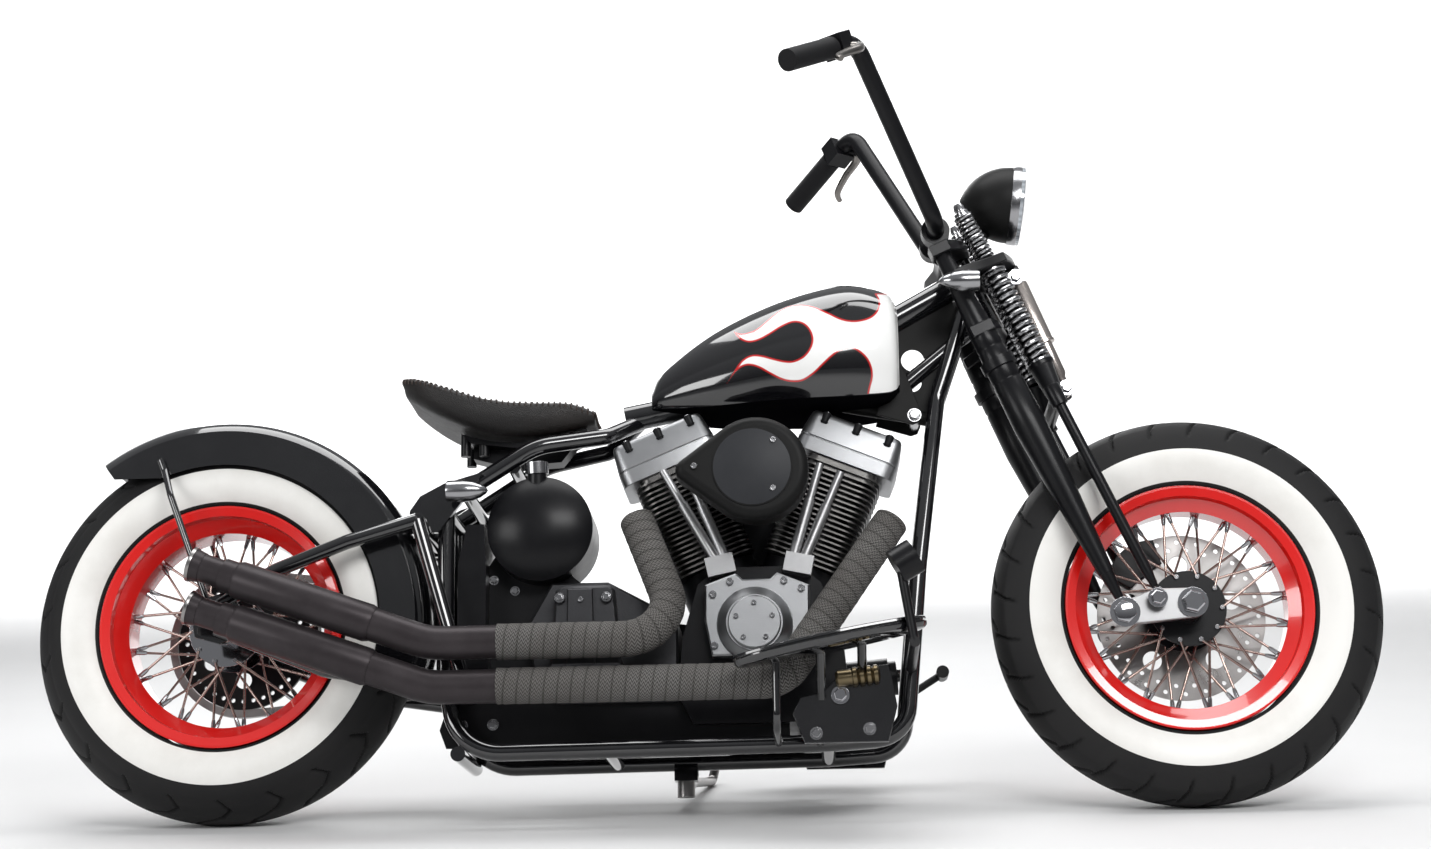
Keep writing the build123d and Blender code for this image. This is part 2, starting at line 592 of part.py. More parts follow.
# name, port, elbow, run height, rear bend x, tip x and z, header radius
EXHAUSTS = (
    ("upper", (742, -92, 512), (830, PIPE_Y, UPPER_Z), UPPER_Z, 393, (-24, 430), 76),
    ("lower", (1190, -92, 500), (995, PIPE_Y, LOWER_Z), LOWER_Z, 393, (-26, 354), 62),
)
with BuildPart() as exhaust_headers:
    for name, port, elbow, run_z, bend_x, tip_at, bend in EXHAUSTS:
        tube([port, elbow, (WRAP_END_X, PIPE_Y, run_z)], WRAP_R, bend)
write(exhaust_headers, "exhaust_headers")

with BuildPart() as exhaust_pipes:
    for name, port, elbow, run_z, bend_x, (tip_x, tip_z), bend in EXHAUSTS:
        tip, knee = Vector(tip_x, PIPE_Y, tip_z), Vector(bend_x, PIPE_Y, run_z)
        slope = (tip - knee).normalized()
        tube([(WRAP_END_X - CLEAR, PIPE_Y, run_z), knee, tip - slope * 60], PIPE_R, 150)
        rod(tip - slope * 72, tip - slope * 20, PIPE_R - 4)
        rod(tip - slope * 22, tip, PIPE_R - 3, PIPE_R + 1)
        rod(tip - slope * 90, tip + slope, PIPE_R - 7, mode=Mode.SUBTRACT)
write(exhaust_pipes, "exhaust_pipes")

# ---- footboards and controls ---------------------------------------------------------------------
BOARD_Y, BOARD_LONG, BOARD_WIDE = 282.0, 330.0, 112.0
BOARD_X, BOARD_Z, BOARD_TILT = 1075.0, 266.0, 11.0
with BuildPart() as footboards:
    for side in (1, -1):
        place = Plane((BOARD_X, side * BOARD_Y, BOARD_Z),
                      x_dir=(cos(radians(BOARD_TILT)), 0, sin(radians(BOARD_TILT))),
                      z_dir=(-sin(radians(BOARD_TILT)), 0, cos(radians(BOARD_TILT))))
        with BuildSketch(place) as sole:
            Ellipse(BOARD_LONG / 2, BOARD_WIDE / 2)
        extrude(sole.sketch, amount=-14)
        for x in (985, 1120):
            foot = Vector(x, side * (RAIL_Y + FRAME_TUBE_R + CLEAR), 110)
            under = BOARD_Z - 12 + (x - BOARD_X) * tan(radians(BOARD_TILT))
            tube([foot, (x, side * (BOARD_Y - 24), 118), (x, side * (BOARD_Y - 24), under)], 10, 30)
write(footboards, "footboards")

with BuildPart() as foot_controls:
    for side in (1, -1):
        rod((1216, side * 108, 236), (1216, side * 332, 246), 9)
    add(main_frame.part, mode=Mode.SUBTRACT)
    rod((1216, -324, 246), (1198, -324, 364), 8)
    rod((1188, -324, 372), (1222, -324, 392), 30)
    rod((1216, 326, 246), (1290, 326, 292), 7)
    rod((1290, 296, 292), (1290, 346, 292), 12)
write(foot_controls, "foot_controls")

with BuildPart() as oil_filter:
    rod((1108, 0, 230), (1180, 0, 236), 36)
    rod((1180, 0, 236), (1194, 0, 237), 30)
write(oil_filter, "oil_filter")

with BuildPart() as rear_turn_signals:
    for side in (1, -1):
        y = side * 150
        rod((412, y, 561), (452, y, 561), 19)
        rod((452, y, 561), (486, y, 561), 19, 5)
        rod((444, side * (113 + CLEAR), 566), (444, side * 140, 564), 6)
write(rear_turn_signals, "rear_turn_signals")

with BuildPart() as rear_caliper:
    block((72, 138), (98, 128.7), (TYRE_R - 28, TYRE_R + 28))
    plate([(90, TYRE_R - 10), (138, TYRE_R - 10), (196, 256), (164, 256)], 122.4, 128.7)
    across(0, TYRE_R, REAR_SPROCKET_R, CHAIN_Y - 7, CHAIN_Y + 7, mode=Mode.SUBTRACT)
write(rear_caliper, "rear_caliper")

# ---- fork ----------------------------------------------------------------------------------------
LEG_LOW, ROD_TOP, ROD_LOW = -624.0, -306.0, -648.0
ROCKER_PIVOT = Vector(1589.0, 0, 327.0)
ROCKER_BOLT = Vector(1647.0, 0, 351.0)
ROCKER_IN, ROCKER_OUT = 76.0, 92.7
EYE_IN, EYE_OUT = 93.0, 107.0
EYE_BOLT_R = 8.0
TREE_TOP, TREE_T = HEAD_TUBE_TOP + CLEAR, 22.0
TREE_LOW = HEAD_TUBE_BOTTOM - CLEAR
SPRING_AHEAD, SPRING_Y, SPRING_R, SPRING_ROD_R = 50.0, 62.0, 23.0, 9.0


def tree_plate(outline, up, thick):
    """Add a fork plate square to the steering axis, from its ahead and left outline."""
    place = Plane(forked(0, 0, up), x_dir=STEER_FWD, z_dir=STEER_UP)
    with BuildLine() as edge:
        Polyline(*outline, *[(ahead, -left) for ahead, left in reversed(outline)], close=True)
    with BuildSketch(place) as face:
        make_face(edge.edges())
    extrude(face.sketch, amount=thick)


# distance down the leg, radius
LEG_PROFILE = ((0, 15), (176, 24), (221, 26), (222, 32), (240, 32), (241, 27), (356, 30),
               (26 - LEG_LOW, 14))
# distance down the rod, radius
ROD_PROFILE = ((0, 15), (40, 15), (41, 10), (26 + ROD_TOP - ROD_LOW, 10), (60 + ROD_TOP - ROD_LOW, 6))
with BuildPart() as fork_rear_legs:
    rod(forked(0, 0, TREE_LOW - 4), forked(0, 0, TREE_TOP + 4), STEM_R)
    for side in (1, -1):
        y = side * LEG_Y
        eye = sorted((side * EYE_IN, side * EYE_OUT))
        turned(forked(-LEG_BACK, y, 26), forked(-LEG_BACK, y, LEG_LOW), LEG_PROFILE)
        rod(forked(-LEG_BACK, y, LEG_LOW + 2), ROCKER_PIVOT + Vector(0, y, 10), 13, 6)
        across(ROCKER_PIVOT.X, ROCKER_PIVOT.Z, 17, *eye)
        across(ROCKER_PIVOT.X, ROCKER_PIVOT.Z, EYE_BOLT_R + CLEAR, *sorted((side * 70, side * 120)),
               mode=Mode.SUBTRACT)
    tree_plate([(82, 30), (78, 86), (20, 100), (-14, 120), (-50, 120), (-50, 84), (-34, 40)],
               TREE_TOP, TREE_T)
    tree_plate([(22, 30), (8, 84), (-10, 124), (-50, 124), (-52, 84), (-10, 40), (-24, 20)],
               TREE_LOW - TREE_T, TREE_T)
    for side in (1, -1):
        rod(forked(SPRING_AHEAD, side * SPRING_Y, TREE_TOP - 1),
            forked(SPRING_AHEAD, side * SPRING_Y, TREE_TOP + TREE_T + 1), SPRING_ROD_R + CLEAR,
            mode=Mode.SUBTRACT)
write(fork_rear_legs, "fork_rear_legs")

ROD_Y = LEG_Y
with BuildPart() as fork_front_rods:
    for side in (1, -1):
        y = side * ROD_Y
        turned(forked(ROD_AHEAD, y, ROD_TOP + 26), forked(ROD_AHEAD, y, ROD_LOW), ROD_PROFILE)
        rod(forked(ROD_AHEAD, y, ROD_TOP + 16), forked(SPRING_AHEAD, side * SPRING_Y, ROD_TOP + 44), 10)
        across(ROCKER_BOLT.X, ROCKER_BOLT.Z, 14, *sorted((side * EYE_IN, side * EYE_OUT)))
        across(ROCKER_BOLT.X, ROCKER_BOLT.Z, EYE_BOLT_R + CLEAR, *sorted((side * 70, side * 120)),
               mode=Mode.SUBTRACT)
        rod(forked(SPRING_AHEAD, side * SPRING_Y, ROD_TOP + 40),
            forked(SPRING_AHEAD, side * SPRING_Y, ROD_TOP + 56), SPRING_R)
    rod(forked(ROD_AHEAD, -ROD_Y, ROD_TOP), forked(ROD_AHEAD, ROD_Y, ROD_TOP), 13)
write(fork_front_rods, "fork_front_rods")

with BuildPart() as fork_springs:
    for side in (1, -1):
        y = side * SPRING_Y
        low, high = ROD_TOP + 56 + CLEAR, TREE_TOP + TREE_T
        rod(forked(SPRING_AHEAD, y, low), forked(SPRING_AHEAD, y, TREE_TOP - CLEAR), SPRING_R)
        rod(forked(SPRING_AHEAD, y, TREE_TOP - 2), forked(SPRING_AHEAD, y, high + 4), SPRING_ROD_R)
        rod(forked(SPRING_AHEAD, y, high + CLEAR), forked(SPRING_AHEAD, y, high + 52), SPRING_R - 4)
        rod(forked(SPRING_AHEAD, y, high + 50), forked(SPRING_AHEAD, y, high + 64), 12)
write(fork_springs, "fork_springs")

with BuildPart() as fork_shock:
    rod(forked(84, 0, -30), forked(76, 0, -220), 19)
    rod(forked(84, 0, -32), forked(62, 0, TREE_TOP - CLEAR), 11)
    rod(forked(76, 0, -220), forked(ROD_AHEAD + 26, 0, ROD_TOP + 12), 11)
    add(fork_front_rods.part, mode=Mode.SUBTRACT)
    add(fork_rear_legs.part, mode=Mode.SUBTRACT)
write(fork_shock, "fork_shock")

with BuildPart() as fork_rockers:
    for side in (1, -1):
        plate([(1572, 318), (1590, 304), (1650, 324), (1706, 322), (1728, 340), (1722, 362),
               (1700, 368), (1640, 376), (1578, 346)], *sorted((side * ROCKER_IN, side * ROCKER_OUT)))
        for bolt in (ROCKER_PIVOT, ROCKER_BOLT):
            across(bolt.X, bolt.Z, EYE_BOLT_R, *sorted((side * ROCKER_IN, side * 114)))
            with BuildSketch(Plane(bolt + Vector(0, side * (EYE_OUT + CLEAR), 0), z_dir=(0, side, 0))):
                RegularPolygon(13, 6)
            extrude(amount=8)
        with BuildSketch(Plane(FRONT_AXLE + Vector(0, side * (ROCKER_OUT - 1), 0), z_dir=(0, side, 0))):
            RegularPolygon(18, 6)
        extrude(amount=13)
    across(WHEELBASE, TYRE_R, AXLE_R, -112, 112)
write(fork_rockers, "fork_rockers")

BAR_TOP, BAR_LOW = Vector(1150.0, 232.0, 1352.0), Vector(1290.0, 92.0, 1050.0)
GRIP_OUT = Vector(1032.0, 372.0, 1262.0)
GRIP_SHARE = 0.36           # where the grip starts between the bar's top bend and its end


def on_side(point, side):
    """Mirror a left-hand point when side is -1."""
    return Vector(point.X, side * point.Y, point.Z)


with BuildPart() as handlebar:
    left = [BAR_LOW, BAR_TOP, GRIP_OUT]
    tube([*[on_side(point, -1) for point in reversed(left)], *left], BAR_R, (34, 40, 40, 34))
write(handlebar, "handlebar")

with BuildPart() as bar_risers:
    for side in (1, -1):
        foot = forked(-12, side * 44, TREE_TOP + TREE_T + CLEAR)
        rod(foot, (BAR_LOW.X, side * 44, BAR_LOW.Z), 14)
        across(BAR_LOW.X, BAR_LOW.Z, 26, *sorted((side * 30, side * 58)))
    across(BAR_LOW.X, BAR_LOW.Z, BAR_R, -80, 80, mode=Mode.SUBTRACT)
write(bar_risers, "bar_risers")

with BuildPart() as grips:
    for side in (1, -1):
        top, outer = on_side(BAR_TOP, side), on_side(GRIP_OUT, side)
        run = outer - top
        rod(top + run * GRIP_SHARE, outer + run.normalized() * 5, GRIP_R)
        rod(top + run * (GRIP_SHARE - 0.1), outer, BAR_R, mode=Mode.SUBTRACT)
write(grips, "grips")

with BuildPart() as bar_controls:
    for side in (1, -1):
        top, outer = on_side(BAR_TOP, side), on_side(GRIP_OUT, side)
        run = outer - top
        with Locations(Plane(top + run * (GRIP_SHARE - 0.02), z_dir=-run).location):
            Box(44, 44, 34, align=(Align.CENTER, Align.CENTER, Align.MIN))
        lever = Vector(34, 0, -2)
        rod(top + run * (GRIP_SHARE - 0.12), top + run * (GRIP_SHARE - 0.12) + lever, 9)
    add(handlebar.part, mode=Mode.SUBTRACT)
write(bar_controls, "bar_controls")

with BuildPart() as bar_levers:
    for side in (1, -1):
        top, outer = on_side(BAR_TOP, side), on_side(GRIP_OUT, side)
        run = outer - top
        start = top + run * (GRIP_SHARE - 0.12) + Vector(34, 0, -2)
        rod(start, start + run * 0.78, 6)
    add(bar_controls.part, mode=Mode.SUBTRACT)
write(bar_levers, "bar_levers")

LAMP_X, LAMP_Z, LAMP_R = 1437.0, 1113.0, 73.0
LAMP_TILT = radians(7.5)
LAMP_OUT = Vector(cos(LAMP_TILT), 0, -sin(LAMP_TILT))
with BuildPart() as headlamp_shell:
    lamp = Vector(LAMP_X, 0, LAMP_Z)
    with BuildSketch(Plane(lamp, x_dir=LAMP_OUT, z_dir=(0, -1, 0))) as bullet:
        with BuildLine():
            Line((-98, 0), (0, 0))
            Line((0, 0), (0, LAMP_R - 3))
            ThreePointArc((0, LAMP_R - 3), (-70, 46), (-98, 0))
        make_face()
    revolve(bullet.sketch, axis=Axis(lamp, LAMP_OUT))
    rod(forked(66, 0, TREE_TOP + TREE_T), lamp - LAMP_OUT * 44, 11)
    add(fork_rear_legs.part, mode=Mode.SUBTRACT)
write(headlamp_shell, "headlamp_shell")

with BuildPart() as headlamp_lens:
    rod(lamp + LAMP_OUT * CLEAR, lamp + LAMP_OUT * 17, LAMP_R)
write(headlamp_lens, "headlamp_lens")

with BuildPart() as front_turn_signals:
    for side in (1, -1):
        middle = forked(-LEG_BACK, side * 146, -48)
        rod(middle + Vector(30, 0, 0), middle - Vector(4, 0, 0), 18)
        rod(middle - Vector(4, 0, 0), middle - Vector(30, 0, 0), 18, 5)
        rod(forked(-LEG_BACK, side * 112, -48), middle, 6)
    add(fork_rear_legs.part, mode=Mode.SUBTRACT)
write(front_turn_signals, "front_turn_signals")

CALIPER_IN, CALIPER_OUT = 50.0, 75.0
CALIPER_TURN = 128.0        # degrees round the axle from straight ahead
with BuildPart() as front_caliper:
    turn = radians(CALIPER_TURN)
    radial = Vector(cos(turn), 0, sin(turn))
    with Locations(Plane(FRONT_AXLE + radial * 126, x_dir=radial, z_dir=(0, 1, 0)).location):
        with Locations((0, 0, (CALIPER_IN + CALIPER_OUT) / 2)):
            Box(68, 104, CALIPER_OUT - CALIPER_IN)
    rod(FRONT_AXLE + Vector(0, 69, 0), FRONT_AXLE + Vector(0, CALIPER_OUT + 0.7, 0), 26)
    with Locations(Plane(FRONT_AXLE + radial * 50, x_dir=radial, z_dir=(0, 1, 0)).location):
        with Locations((0, 0, 72)):
            Box(100, 30, 6)
    across(WHEELBASE, TYRE_R, ROTOR_R + 4, ROTOR_Y - 5, ROTOR_Y + 5, mode=Mode.SUBTRACT)
    across(WHEELBASE, TYRE_R, AXLE_R + CLEAR, 0, 100, mode=Mode.SUBTRACT)
write(front_caliper, "front_caliper")

# ---- side stand ----------------------------------------------------------------------------------
def ground(y):
    """Height, in the upright machine, of the floor that it leans over."""
    lean = radians(LEAN)
    return (y * sin(lean) - CROWN_R * (1 - cos(lean))) / cos(lean)


STAND_X, STAND_Y = 812.0, 118.0
STAND_FOOT_X, STAND_FOOT_Y, STAND_R = 846.0, 405.0, 9.0
STAND_DROP = 1.1            # the foot's bend passes above its corner by this much
with BuildPart() as side_stand:
    foot_z = ground(STAND_FOOT_Y) + STAND_R / cos(radians(LEAN)) - STAND_DROP
    rod((STAND_X, STAND_Y, STAND_TOP - 28), (STAND_X, STAND_Y, STAND_TOP - CLEAR), 16)
    tube([(STAND_X, STAND_Y, STAND_TOP - 18), (STAND_X + 8, 220, 84), (STAND_FOOT_X, STAND_FOOT_Y, foot_z),
          (STAND_FOOT_X + 8, STAND_FOOT_Y + 6, foot_z + 34)], STAND_R, (60, 14))
write(side_stand, "side_stand")
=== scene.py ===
"""Looks of a springer-fork chopper with a V-twin, leaning on its side stand.

Lengths named here are millimetres in the upright machine's frame: X forward, Y to the rider's left,
Z up, zero under the rear axle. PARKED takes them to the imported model's frame, in metres.
"""
from math import atan2, cos, pi, radians, sin, tan

import bmesh
import bpy
import numpy as np
from mathutils import Matrix, Vector
from mathutils.bvhtree import BVHTree
from mathutils.geometry import tessellate_polygon


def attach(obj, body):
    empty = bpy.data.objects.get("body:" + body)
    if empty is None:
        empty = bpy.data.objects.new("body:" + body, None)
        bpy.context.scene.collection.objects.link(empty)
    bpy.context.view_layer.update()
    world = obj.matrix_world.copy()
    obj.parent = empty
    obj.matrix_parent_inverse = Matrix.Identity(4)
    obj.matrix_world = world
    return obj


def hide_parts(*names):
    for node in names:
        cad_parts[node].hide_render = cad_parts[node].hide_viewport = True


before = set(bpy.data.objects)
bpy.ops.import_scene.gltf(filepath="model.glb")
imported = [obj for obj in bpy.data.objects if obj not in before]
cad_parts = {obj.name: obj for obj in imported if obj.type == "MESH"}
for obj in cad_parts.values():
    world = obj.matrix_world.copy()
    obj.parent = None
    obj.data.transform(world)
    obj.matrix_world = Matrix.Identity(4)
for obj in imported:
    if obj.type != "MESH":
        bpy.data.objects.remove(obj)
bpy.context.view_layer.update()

# ---- sizes shared with the solids ----
MM = 0.001
LEAN = radians(14.0)
WHEELBASE = 1709.0
CENTRE_Y = 209.1
RAKE = radians(24.0)
HEAD = Vector((1335.0, 0.0, 980.0))
TYRE_R, CROWN_R, RIM_R, WELL_R = 344.0, 90.0, 217.0, 180.0
REAR_AXLE, FRONT_AXLE = Vector((0.0, 0.0, TYRE_R)), Vector((WHEELBASE, 0.0, TYRE_R))
STEER_UP = Vector((-sin(RAKE), 0.0, cos(RAKE)))
STEER_FWD = Vector((cos(RAKE), 0.0, sin(RAKE)))
PARKED = (Matrix.Translation((-WHEELBASE / 2 * MM, -CENTRE_Y * MM, CROWN_R * (1 - cos(LEAN)) * MM))
          @ Matrix.Rotation(-LEAN, 4, "X") @ Matrix.Scale(MM, 4))

# ---- camera ----
PHOTO_W = 1431
FOCAL_PX = 2490.0
SENSOR_MM = 36.0
CENTRE_PX = 711.0               # where the lens axis meets the photograph, from its left edge
EYE = Vector((1062.65, -4393.02, -431.41))
YAW, PITCH, ROLL = radians(2.4933), radians(14.5419), radians(0.8504)


def forked(ahead, left, up):
    """Point given from the steering head: ahead of the axis, to the left, up along the axis."""
    return HEAD + STEER_FWD * ahead + Vector((0, left, 0)) + STEER_UP * up


def new_object(name, data):
    """An object made of that data, in the scene."""
    made = bpy.data.objects.new(name, data)
    bpy.context.scene.collection.objects.link(made)
    return made


def place_camera():
    """The photograph's camera, as fitted with the machine's main sizes."""
    lens = bpy.data.cameras.new("camera")
    lens.sensor_width = SENSOR_MM
    lens.sensor_fit = "HORIZONTAL"
    lens.lens = FOCAL_PX * lens.sensor_width / PHOTO_W
    lens.shift_x = (PHOTO_W / 2 - CENTRE_PX) / PHOTO_W
    lens.clip_end = 200.0
    camera = new_object("camera", lens)
    turn = (Matrix.Rotation(YAW, 4, "Z") @ Matrix.Rotation(PITCH, 4, "X") @ Matrix.Rotation(ROLL, 4, "Y")
            @ Matrix.Rotation(radians(90), 4, "X"))
    seat = PARKED.to_3x3().normalized().to_4x4()
    camera.matrix_world = Matrix.Translation(PARKED @ EYE) @ seat @ turn
    bpy.context.scene.camera = camera


# ---- materials ----
MATERIALS = {}
EDGE_ROUND = 0.0008             # metres by which hard edges look rounded off


class Shader:
    """A material's node tree, written as nested calls; the material is kept in MATERIALS."""

    def __init__(self, name):
        self.material = MATERIALS[name] = bpy.data.materials.new(name)
        self.material.use_nodes = True
        self.tree = self.material.node_tree
        self.bsdf = self.tree.nodes["Principled BSDF"]
        self.place = self.add("TexCoord").outputs["Object"]

    def put(self, socket, value):
        if isinstance(value, bpy.types.NodeSocket):
            self.tree.links.new(value, socket)
        elif value is not None:
            if socket.type == "RGBA" and len(value) == 3:
                value = (*value, 1.0)
            socket.default_value = value

    def add(self, kind, *values, **settings):
        node = self.tree.nodes.new("ShaderNode" + kind)
        for name, value in settings.items():
            setattr(node, name, value)
        for socket, value in zip(node.inputs, values):
            self.put(socket, value)
        return node

    def set(self, **values):
        self.fill(self.bsdf, **values)

    def math(self, operation, *values):
        return self.add("Math", *values, operation=operation).outputs[0]

    def times(self, first, second):
        return self.math("MULTIPLY", first, second)

    def plus(self, first, second):
        return self.math("ADD", first, second)

    def minus(self, first, second):
        return self.math("SUBTRACT", first, second)

    def scaled(self, value, gain, offset):
        return self.plus(self.times(value, gain), offset)

    def patches(self, cloud, none, full, gain):
        """Share of a patchy layer: nothing up to one level of the cloud, all of it from another."""
        return self.times(self.ramp(cloud, (none, 0.0), (full, 1.0)), gain)

    def fill(self, node, **values):
        for name, value in values.items():
            self.put(node.inputs[name.replace("_", " ")], value)
        return node.outputs[0]

    def noise(self, scale, detail=3.0, rough=0.5, place=None):
        return self.fill(self.add("TexNoise"), Vector=place or self.place, Scale=scale, Detail=detail,
                         Roughness=rough)

    def ramp(self, amount, *stops):
        """Colour ramp: each stop is a position with a grey or a colour."""
        node = self.add("ValToRGB", amount)
        marks = node.color_ramp.elements
        while len(marks) < len(stops):
            marks.new(0.5)
        for mark, (where, colour) in zip(marks, stops):
            mark.position = where
            mark.color = (*colour, 1) if isinstance(colour, tuple) else (colour, colour, colour, 1)
        return node.outputs[0]

    def mix(self, amount, low, high):
        node = self.add("Mix", data_type="RGBA")
        for socket, value in zip((node.inputs[0], node.inputs[6], node.inputs[7]), (amount, low, high)):
            self.put(socket, value)
        return node.outputs[2]

    def bump(self, height, distance, normal=None):
        self.set(Normal=self.fill(self.add("Bump"), Strength=1.0, Distance=distance, Height=height,
                                  Normal=normal))

    def uv(self):
        return self.add("SeparateXYZ", self.add("TexCoord").outputs["UV"]).outputs

    def rounded(self, radius=EDGE_ROUND):
        """Normal that rounds hard edges off."""
        return self.fill(self.add("Bevel", samples=4), Radius=radius)


def paint(name, colour, rough=0.10):
    """Sprayed enamel under a clear coat, with faint orange peel and a little dust."""
    s = Shader(name)
    cloud = s.noise(9.0, 5.0, 0.6)
    speck = s.noise(420.0, 2.0)
    film = s.patches(cloud, 0.42, 0.75, 0.02)
    s.set(Base_Color=s.mix(film, colour, tuple(0.30 + 0.5 * c for c in colour)),
          Roughness=s.plus(s.times(s.plus(cloud, speck), 0.05), rough - 0.04), Coat_Weight=1.0,
          Coat_Roughness=0.03)
    s.bump(s.noise(260.0, 1.0), 0.00003, s.rounded())


def metal(name, colour, rough, grain=0.0, stain=0.15, cast=0.0):
    """Bare or plated metal: fine scratches, stains and a cast skin as asked."""
    s = Shader(name)
    cloud = s.noise(14.0, 6.0, 0.62)
    fine = s.noise(900.0, 2.0)
    s.set(Base_Color=s.mix(s.patches(cloud, 0.45, 0.8, stain), colour, tuple(c * 0.5 for c in colour)),
          Roughness=s.scaled(cloud, rough * 0.6, rough * 0.7), Metallic=1.0)
    s.bump(s.plus(s.times(fine, grain), s.times(s.noise(380.0, 3.0), cast)), 0.0004, s.rounded())


def dull(name, colour, rough, grain=0.3, scale=500.0, wear=0.12, **more):
    """Satin or matt paint, or rubber, with a fine skin and rubbed patches."""
    s = Shader(name)
    cloud = s.noise(17.0, 6.0, 0.6)
    pale = tuple(min(1.0, c * 1.6 + 0.010) for c in colour)
    s.set(Base_Color=s.mix(s.patches(cloud, 0.4, 0.72, wear), colour, pale),
          Roughness=s.scaled(cloud, 0.2, rough - 0.1), Specular_IOR_Level=0.14, **more)
    s.bump(s.times(s.noise(scale, 3.0), grain), 0.0003, s.rounded())


FLAME_EDGE = 0.0032          # width of the red line round the flames
FLAME_SOFT = 0.0007
UNDERSIDE = 300.0            # further than this from a flame: the tank's matt underside


def flames():
    """Black enamel with white flames inside a red line, from the distance kept on the mesh."""
    s = Shader("flames")
    reach = s.add("Attribute", attribute_name="flame_reach").outputs["Fac"]
    red = s.add("MapRange", reach, -FLAME_SOFT, FLAME_SOFT, 0.0, 1.0).outputs[0]
    white = s.add("MapRange", reach, FLAME_EDGE - FLAME_SOFT, FLAME_EDGE + FLAME_SOFT, 0.0, 1.0).outputs[0]
    cloud = s.noise(12.0, 4.0)
    cream = s.mix(cloud, (0.80, 0.80, 0.78), (0.88, 0.88, 0.87))
    outside = s.math("GREATER_THAN", reach, -UNDERSIDE * MM)
    s.set(Base_Color=s.mix(red, (0.004, 0.004, 0.005), s.mix(white, (0.50, 0.010, 0.010), cream)),
          Roughness=s.minus(s.scaled(cloud, 0.06, 0.58), s.times(outside, 0.5)),
          Specular_IOR_Level=s.times(outside, 0.5), Coat_Weight=outside, Coat_Roughness=0.02)
    s.bump(s.noise(240.0, 1.0), 0.00002)


V_HALF = radians(22.5)          # half the angle between the cylinders
CRANK = Vector((956.0, 0.0, 245.0))
FIN_RIM = 0.35                  # faces turned no further than this along the cylinder are fin rims


def fins():
    """Black finning whose outer edges are machined bright: those face away from the cylinder's axis."""
    s = Shader("fins")
    x, y, z = s.add("SeparateXYZ", s.add("TexCoord").outputs["Normal"]).outputs
    px = s.add("SeparateXYZ", s.place).outputs[0]
    upright_z = s.minus(s.times(z, cos(LEAN)), s.times(y, -sin(LEAN)))
    front = s.math("SIGN", s.minus(px, (CRANK.x - WHEELBASE / 2) * MM))
    along = s.plus(s.times(upright_z, cos(V_HALF)), s.times(s.times(x, front), sin(V_HALF)))
    rim = s.math("LESS_THAN", s.math("ABSOLUTE", along), FIN_RIM)
    cloud = s.noise(22.0, 5.0)
    bright = s.mix(cloud, (0.17, 0.165, 0.16), (0.09, 0.088, 0.085))
    s.set(Base_Color=s.mix(rim, (0.007, 0.007, 0.008), bright), Metallic=rim,
          Roughness=s.scaled(cloud, 0.2, 0.24))
    s.bump(s.noise(400.0, 3.0), 0.0001)


WRAP_R, WRAP_STEP = 31.5, 23.0
YARN, HERRINGBONES = 0.0072, 3.0        # yarn's width in metres, zigzags across one turn


def woven_wrap():
    """Glass cloth wound on a pipe: U runs along it in metres, V once round it."""
    s = Shader("wrap")
    u, v, _ = s.uv()
    turns = s.plus(s.math("DIVIDE", u, WRAP_STEP * MM), v)
    across = s.math("FRACT", turns)
    zig = s.math("ABSOLUTE", s.minus(s.math("FRACT", s.times(across, HERRINGBONES)), 0.5))
    slant = s.times(zig, WRAP_STEP * MM / HERRINGBONES / YARN * 2)
    run = s.plus(s.times(v, 2 * pi * WRAP_R * MM / YARN), slant)
    weave = s.plus(s.times(s.math("SINE", s.times(run, 2 * pi)), 0.5), 0.5)
    fray = s.noise(240.0, 4.0, 0.7)
    cloud = s.noise(10.0, 5.0, 0.6)
    # painted shade: near black either side of the step where each turn laps over the one before
    lap_shade = s.ramp(across, (0.0, 0.35), (0.12, 1.0), (0.90, 1.0), (1.0, 0.45))
    # the herringbone's low yarn gaps, sunk by the bump too, get near-black colour as painted shade
    tone = s.mix(weave, (0.005, 0.005, 0.005), (0.175, 0.168, 0.160))
    tone = s.mix(s.patches(cloud, 0.4, 0.7, 0.5), tone, (0.040, 0.034, 0.030))
    tone = s.mix(s.times(fray, 0.22), tone, (0.16, 0.155, 0.15))
    s.set(Base_Color=s.mix(lap_shade, (0.012, 0.011, 0.010), tone), Roughness=0.92, Specular_IOR_Level=0.2)
    s.bump(s.plus(s.times(weave, 0.6), s.times(fray, 0.4)), 0.0008)


def leather(name, colour, worn):
    """Creased hide, paler where it is rubbed."""
    s = Shader(name)
    pebble = s.fill(s.add("TexVoronoi"), Vector=s.place, Scale=520.0)
    crease = s.noise(46.0, 8.0, 0.65)
    cloud = s.noise(8.0, 5.0, 0.6)
    rubbed = s.patches(cloud, 0.45, 0.72, 0.55)
    s.set(Base_Color=s.mix(rubbed, colour, worn),
          Roughness=s.scaled(crease, 0.22, 0.34), Specular_IOR_Level=0.4)
    s.bump(s.plus(s.times(pebble, 0.5), s.times(crease, 1.1)), 0.0011)


def tyre_black():
    """Rubber, with painted shade down in the cut grooves."""
    s = Shader("tyre_black")
    cloud = s.noise(11.0, 6.0, 0.6)
    cut = s.add("Attribute", attribute_name="groove_shade").outputs["Fac"]
    skin = s.mix(s.times(cloud, 0.6), (0.009, 0.009, 0.010), (0.026, 0.025, 0.024))
    # painted shade: the base colour goes near black down in the cut grooves
    s.set(Base_Color=s.mix(s.times(cut, 0.85), skin, (0.002, 0.002, 0.002)),
          Roughness=s.scaled(cloud, 0.2, 0.50), Specular_IOR_Level=0.18)
    s.bump(s.noise(800.0, 3.0), 0.0002)


